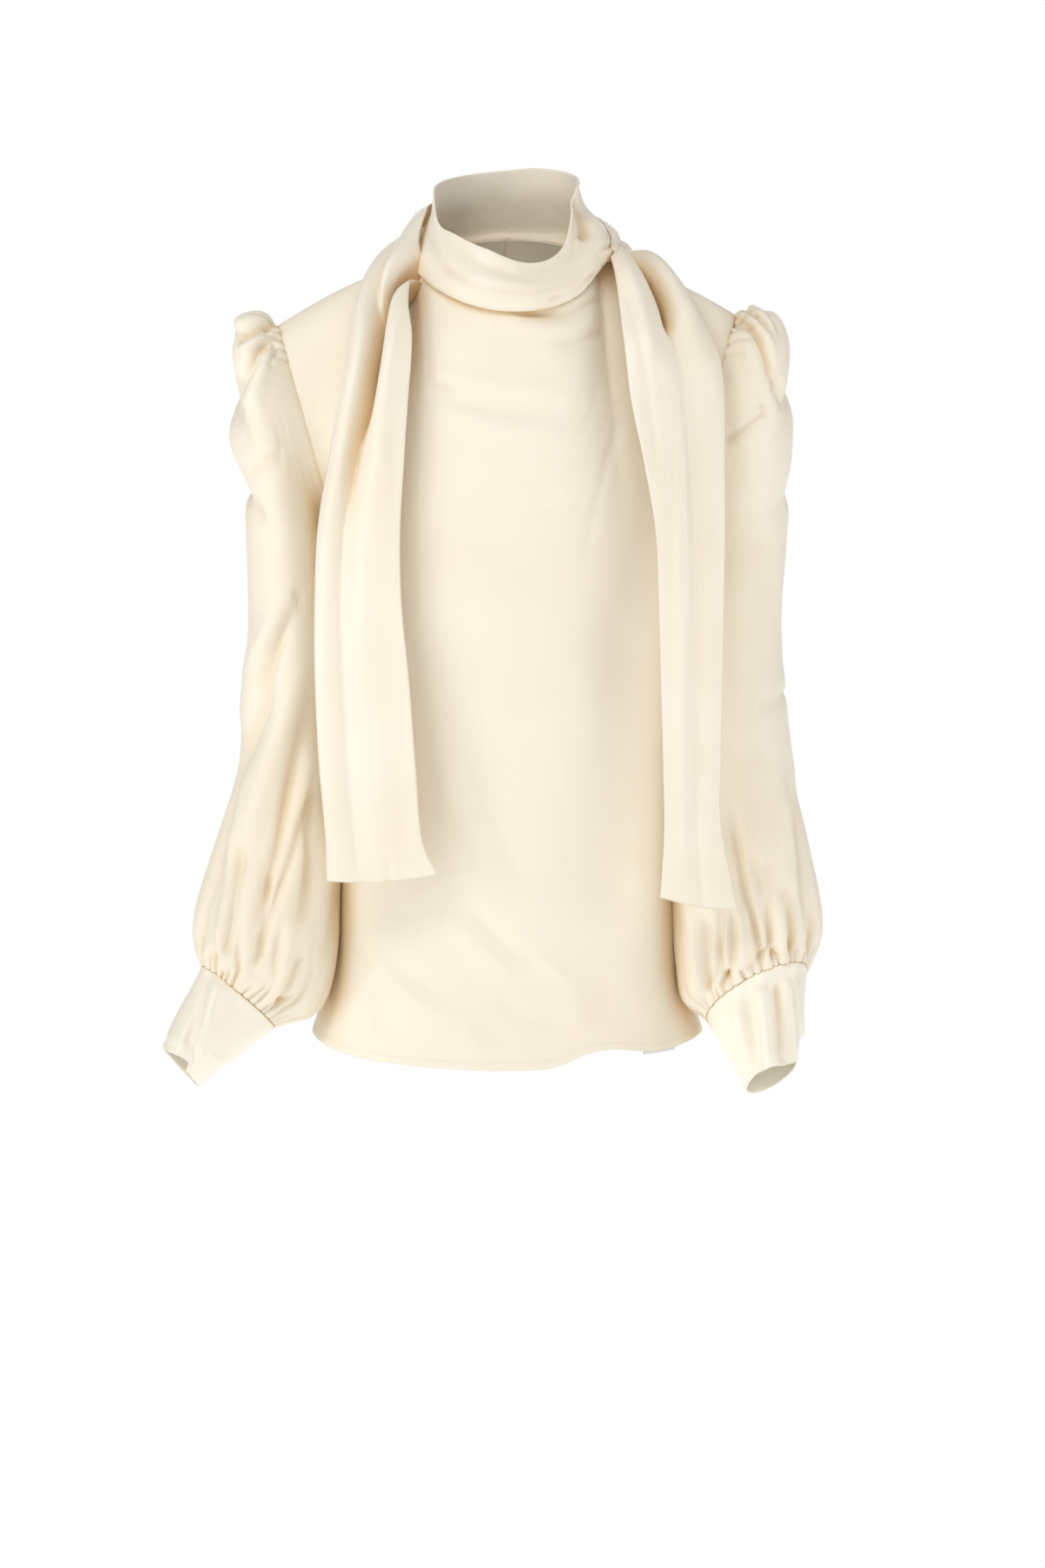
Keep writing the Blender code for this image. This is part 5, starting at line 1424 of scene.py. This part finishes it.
class BlouseSilk(bpy.types.PropertyGroup):
    colour: FloatVectorProperty(
        name="Silk", description="Colour of the body and sleeves", default=(0.90, 0.83, 0.69),
        size=3, min=0, max=1, subtype="COLOR",
    )
    satin: FloatVectorProperty(
        name="Satin", description="Colour of the collar, ties and cuffs", default=(0.91, 0.84, 0.71),
        size=3, min=0, max=1, subtype="COLOR",
    )
    shade: FloatVectorProperty(
        name="Warm shade", description="Colour of the warmer places of the cloth",
        default=(0.87, 0.78, 0.62), size=3, min=0, max=1, subtype="COLOR",
    )
    # Painted shade: the colour mixed into the silk in hollows, and made darker still in marked folds
    hollow_painted_shade: FloatVectorProperty(
        name="Hollows", description="Colour of the cloth deep in a fold, lit through and by itself",
        default=(0.82, 0.65, 0.41), size=3, min=0, max=1, subtype="COLOR",
    )
    single: FloatProperty(
        name="Single cloth", description="Thickness of one layer", default=0.0008,
        min=0.0003, max=0.003, unit="LENGTH", precision=4,
    )
    double: FloatProperty(
        name="Double cloth", description="Thickness of two layers", default=0.0014,
        min=0.0005, max=0.004, unit="LENGTH", precision=4,
    )
    creases: FloatProperty(
        name="Creases", description="Height of the hand-placed creases", default=1.5, min=0, max=3,
        subtype="FACTOR",
    )


class BlouseStage(bpy.types.PropertyGroup):
    floor: FloatProperty(
        name="Floor", description="Height of the floor", default=-1.45, unit="LENGTH",
    )
    key: FloatProperty(
        name="Left light", description="Power of the light at the viewer's left", default=26.0,
        min=0, unit="POWER",
    )
    fill: FloatProperty(
        name="Right light", description="Power of the light at the viewer's right", default=25.0,
        min=0, unit="POWER",
    )
    top: FloatProperty(
        name="Top light", description="Power of the light above", default=27.0, min=0, unit="POWER",
    )
    low: FloatProperty(
        name="Low light", description="Power of the light below", default=7.0, min=0, unit="POWER",
    )
    back: FloatProperty(
        name="Back light", description="Power of the light behind", default=16.0, min=0, unit="POWER",
    )
    world: FloatProperty(name="Surround", description="Strength of the white surround", default=0.31, min=0)


# ---------------------------------------------------------------- operators

# The grids of the finished panels and collar, with their normals, for what lies on them
grids = {}


def finish_sheet(piece, node):
    """Put a cloth piece in its node's place: hide the node's solid and attach the piece to the root."""
    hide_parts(node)
    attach(piece, "root")


class BLOUSE_OT_panels(bpy.types.Operator):
    """Make the front and back panels"""

    bl_idname = "blouse.panels"
    bl_label = "Front and back"

    def execute(self, context):
        silk = context.scene.blouse_silk
        for name, face in (("front", -1), ("back", 1)):
            rows, normals, open_cells = panel_grid(face, silk.creases)
            grids[name] = (rows, normals)
            piece = sheet_piece(
                "silk_" + name, rows, crepe_material(), silk.single / MM, flip=face > 0,
                open_cells=open_cells,
            )
            seam = rows[STITCH_GRID_ROW] + normals[STITCH_GRID_ROW] * STITCH_ABOVE
            stitches = stitch_row("hem_stitches_" + name, seam, normals[STITCH_GRID_ROW], thread_material())
            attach(stitches, "root")
            finish_sheet(piece, name)
        return {"FINISHED"}


class BLOUSE_OT_label(bpy.types.Operator):
    """Make the plain label at the hem"""

    bl_idname = "blouse.label"
    bl_label = "Label"

    def execute(self, context):
        piece = sheet_piece("hem_label", label_grid(), label_material(), LABEL_THICKNESS)
        finish_sheet(piece, "label")
        return {"FINISHED"}


class BLOUSE_OT_sleeves(bpy.types.Operator):
    """Make the two sleeves"""

    bl_idname = "blouse.sleeves"
    bl_label = "Sleeves"

    def execute(self, context):
        silk = context.scene.blouse_silk
        for name, side in (("sleeve_right", -1), ("sleeve_left", 1)):
            rows, relief = sleeve_grid(side, silk.creases)
            # The fold attribute paints shade into the sleeve's deeper folds
            piece = sheet_piece(
                "silk_" + name, rows, crepe_material(), silk.single / MM, closed=True, flip=side < 0,
                fold=SLEEVE_FOLD_SHADE * valley(relief),
            )
            finish_sheet(piece, name)
        return {"FINISHED"}


class BLOUSE_OT_cuffs(bpy.types.Operator):
    """Make the two cuffs"""

    bl_idname = "blouse.cuffs"
    bl_label = "Cuffs"

    def execute(self, context):
        silk = context.scene.blouse_silk
        for name, side in (("cuff_right", -1), ("cuff_left", 1)):
            rows = cuff_grid(side, silk.creases)
            piece = sheet_piece(
                "satin_" + name, rows, cuff_material(), silk.double / MM, closed=True, flip=side < 0,
            )
            finish_sheet(piece, name)
        return {"FINISHED"}


class BLOUSE_OT_collar(bpy.types.Operator):
    """Make the collar"""

    bl_idname = "blouse.collar"
    bl_label = "Collar"

    def execute(self, context):
        silk = context.scene.blouse_silk
        rows, normals, relief = collar_grid([grids["front"], grids["back"]], silk.creases)
        grids["collar"] = (rows, normals)
        # The fold attribute paints shade into the collar's deeper folds
        piece = sheet_piece(
            "satin_collar", rows, satin_material(), silk.double / MM, closed=True,
            fold=COLLAR_FOLD_SHADE * valley(relief),
        )
        finish_sheet(piece, "collar")
        return {"FINISHED"}


class BLOUSE_OT_ties(bpy.types.Operator):
    """Make the two ties"""

    bl_idname = "blouse.ties"
    bl_label = "Ties"

    def execute(self, context):
        silk = context.scene.blouse_silk
        under = [grids["front"], grids["back"], grids["collar"]]
        for name, side in (("tie_right", -1), ("tie_left", 1)):
            rows, fold = tie_grid(side, under, silk.creases)
            # The fold attribute paints shade into the tie's deepest creases
            piece = sheet_piece(
                "satin_" + name, rows, satin_material(), silk.double / MM, flip=side < 0, fold=fold,
            )
            finish_sheet(piece, name)
        return {"FINISHED"}


def point_at(thing, place, aim):
    """Put a camera or a light at a place and turn it to its aim."""
    thing.location = place
    thing.rotation_euler = (Vector(aim) - Vector(place)).to_track_quat("-Z", "Y").to_euler()
    bpy.context.scene.collection.objects.link(thing)


class BLOUSE_OT_stage(bpy.types.Operator):
    """Set the camera, the lights, the white surround and the floor"""

    bl_idname = "blouse.stage"
    bl_label = "Stage"

    def execute(self, context):
        scene, sizes = context.scene, context.scene.blouse_stage
        camera = bpy.data.objects.new("Camera", bpy.data.cameras.new("Camera"))
        camera.data.sensor_fit = "VERTICAL"
        camera.data.sensor_height = 36
        camera.data.lens = CAMERA_LENS
        camera.data.clip_end = 100
        point_at(camera, CAMERA_PLACE, CAMERA_AIM)
        scene.camera = camera
        for name, place, size, power, share in LIGHTS:
            lamp = bpy.data.lights.new(name, "AREA")
            lamp.shape = "DISK"
            lamp.size = size
            lamp.energy = getattr(sizes, power) * share
            light = bpy.data.objects.new(name, lamp)
            light.visible_camera = False
            point_at(light, place, LIGHT_AIM)
        world = bpy.data.worlds.new("Surround")
        world.use_nodes = True
        tree = world.node_tree
        sky = tree.nodes["Background"].inputs
        sky["Color"].default_value = (1, 1, 1, 1)
        seen = add_node(tree, "ShaderNodeLightPath").outputs["Is Camera Ray"]
        strength = add_node(tree, "ShaderNodeMix", [("Factor", seen)], A=sizes.world, B=1.0)
        tree.links.new(strength.outputs["Result"], sky["Strength"])
        scene.world = world
        scene.view_settings.view_transform = "Standard"
        turn, out = np.meshgrid(np.arange(64) / 64 * 2 * math.pi, np.array(FLOOR_RINGS))
        rows = np.stack([out * np.cos(turn), out * np.sin(turn), 0 * turn + sizes.floor], -1) / MM
        quads = ring_quads(*turn.shape)[..., ::-1]
        floor = new_piece("Floor", rows.reshape(-1, 3), quads.reshape(-1, 4), floor_material())
        floor.visible_camera = False
        return {"FINISHED"}


class BLOUSE_PT_panel(bpy.types.Panel):
    bl_label = "Silk blouse"
    bl_idname = "BLOUSE_PT_panel"
    bl_space_type = "VIEW_3D"
    bl_region_type = "UI"
    bl_category = "Blouse"

    def draw(self, context):
        for group in (context.scene.blouse_silk, context.scene.blouse_stage):
            for name in group.__annotations__:
                self.layout.prop(group, name)
        for operator in OPERATORS:
            self.layout.operator(operator.bl_idname)


OPERATORS = (
    BLOUSE_OT_panels,
    BLOUSE_OT_label,
    BLOUSE_OT_sleeves,
    BLOUSE_OT_cuffs,
    BLOUSE_OT_collar,
    BLOUSE_OT_ties,
    BLOUSE_OT_stage,
)
CLASSES = (BlouseSilk, BlouseStage, *OPERATORS, BLOUSE_PT_panel)


def register():
    for cls in CLASSES:
        bpy.utils.register_class(cls)
    bpy.types.Scene.blouse_silk = PointerProperty(type=BlouseSilk)
    bpy.types.Scene.blouse_stage = PointerProperty(type=BlouseStage)


def unregister():
    del bpy.types.Scene.blouse_stage
    del bpy.types.Scene.blouse_silk
    for cls in reversed(CLASSES):
        bpy.utils.unregister_class(cls)


def main():
    register()
    bpy.ops.blouse.panels()
    bpy.ops.blouse.label()
    bpy.ops.blouse.sleeves()
    bpy.ops.blouse.cuffs()
    bpy.ops.blouse.collar()
    bpy.ops.blouse.ties()
    bpy.ops.blouse.stage()
    bpy.context.view_layer.update()


if __name__ == "__main__":
    main()
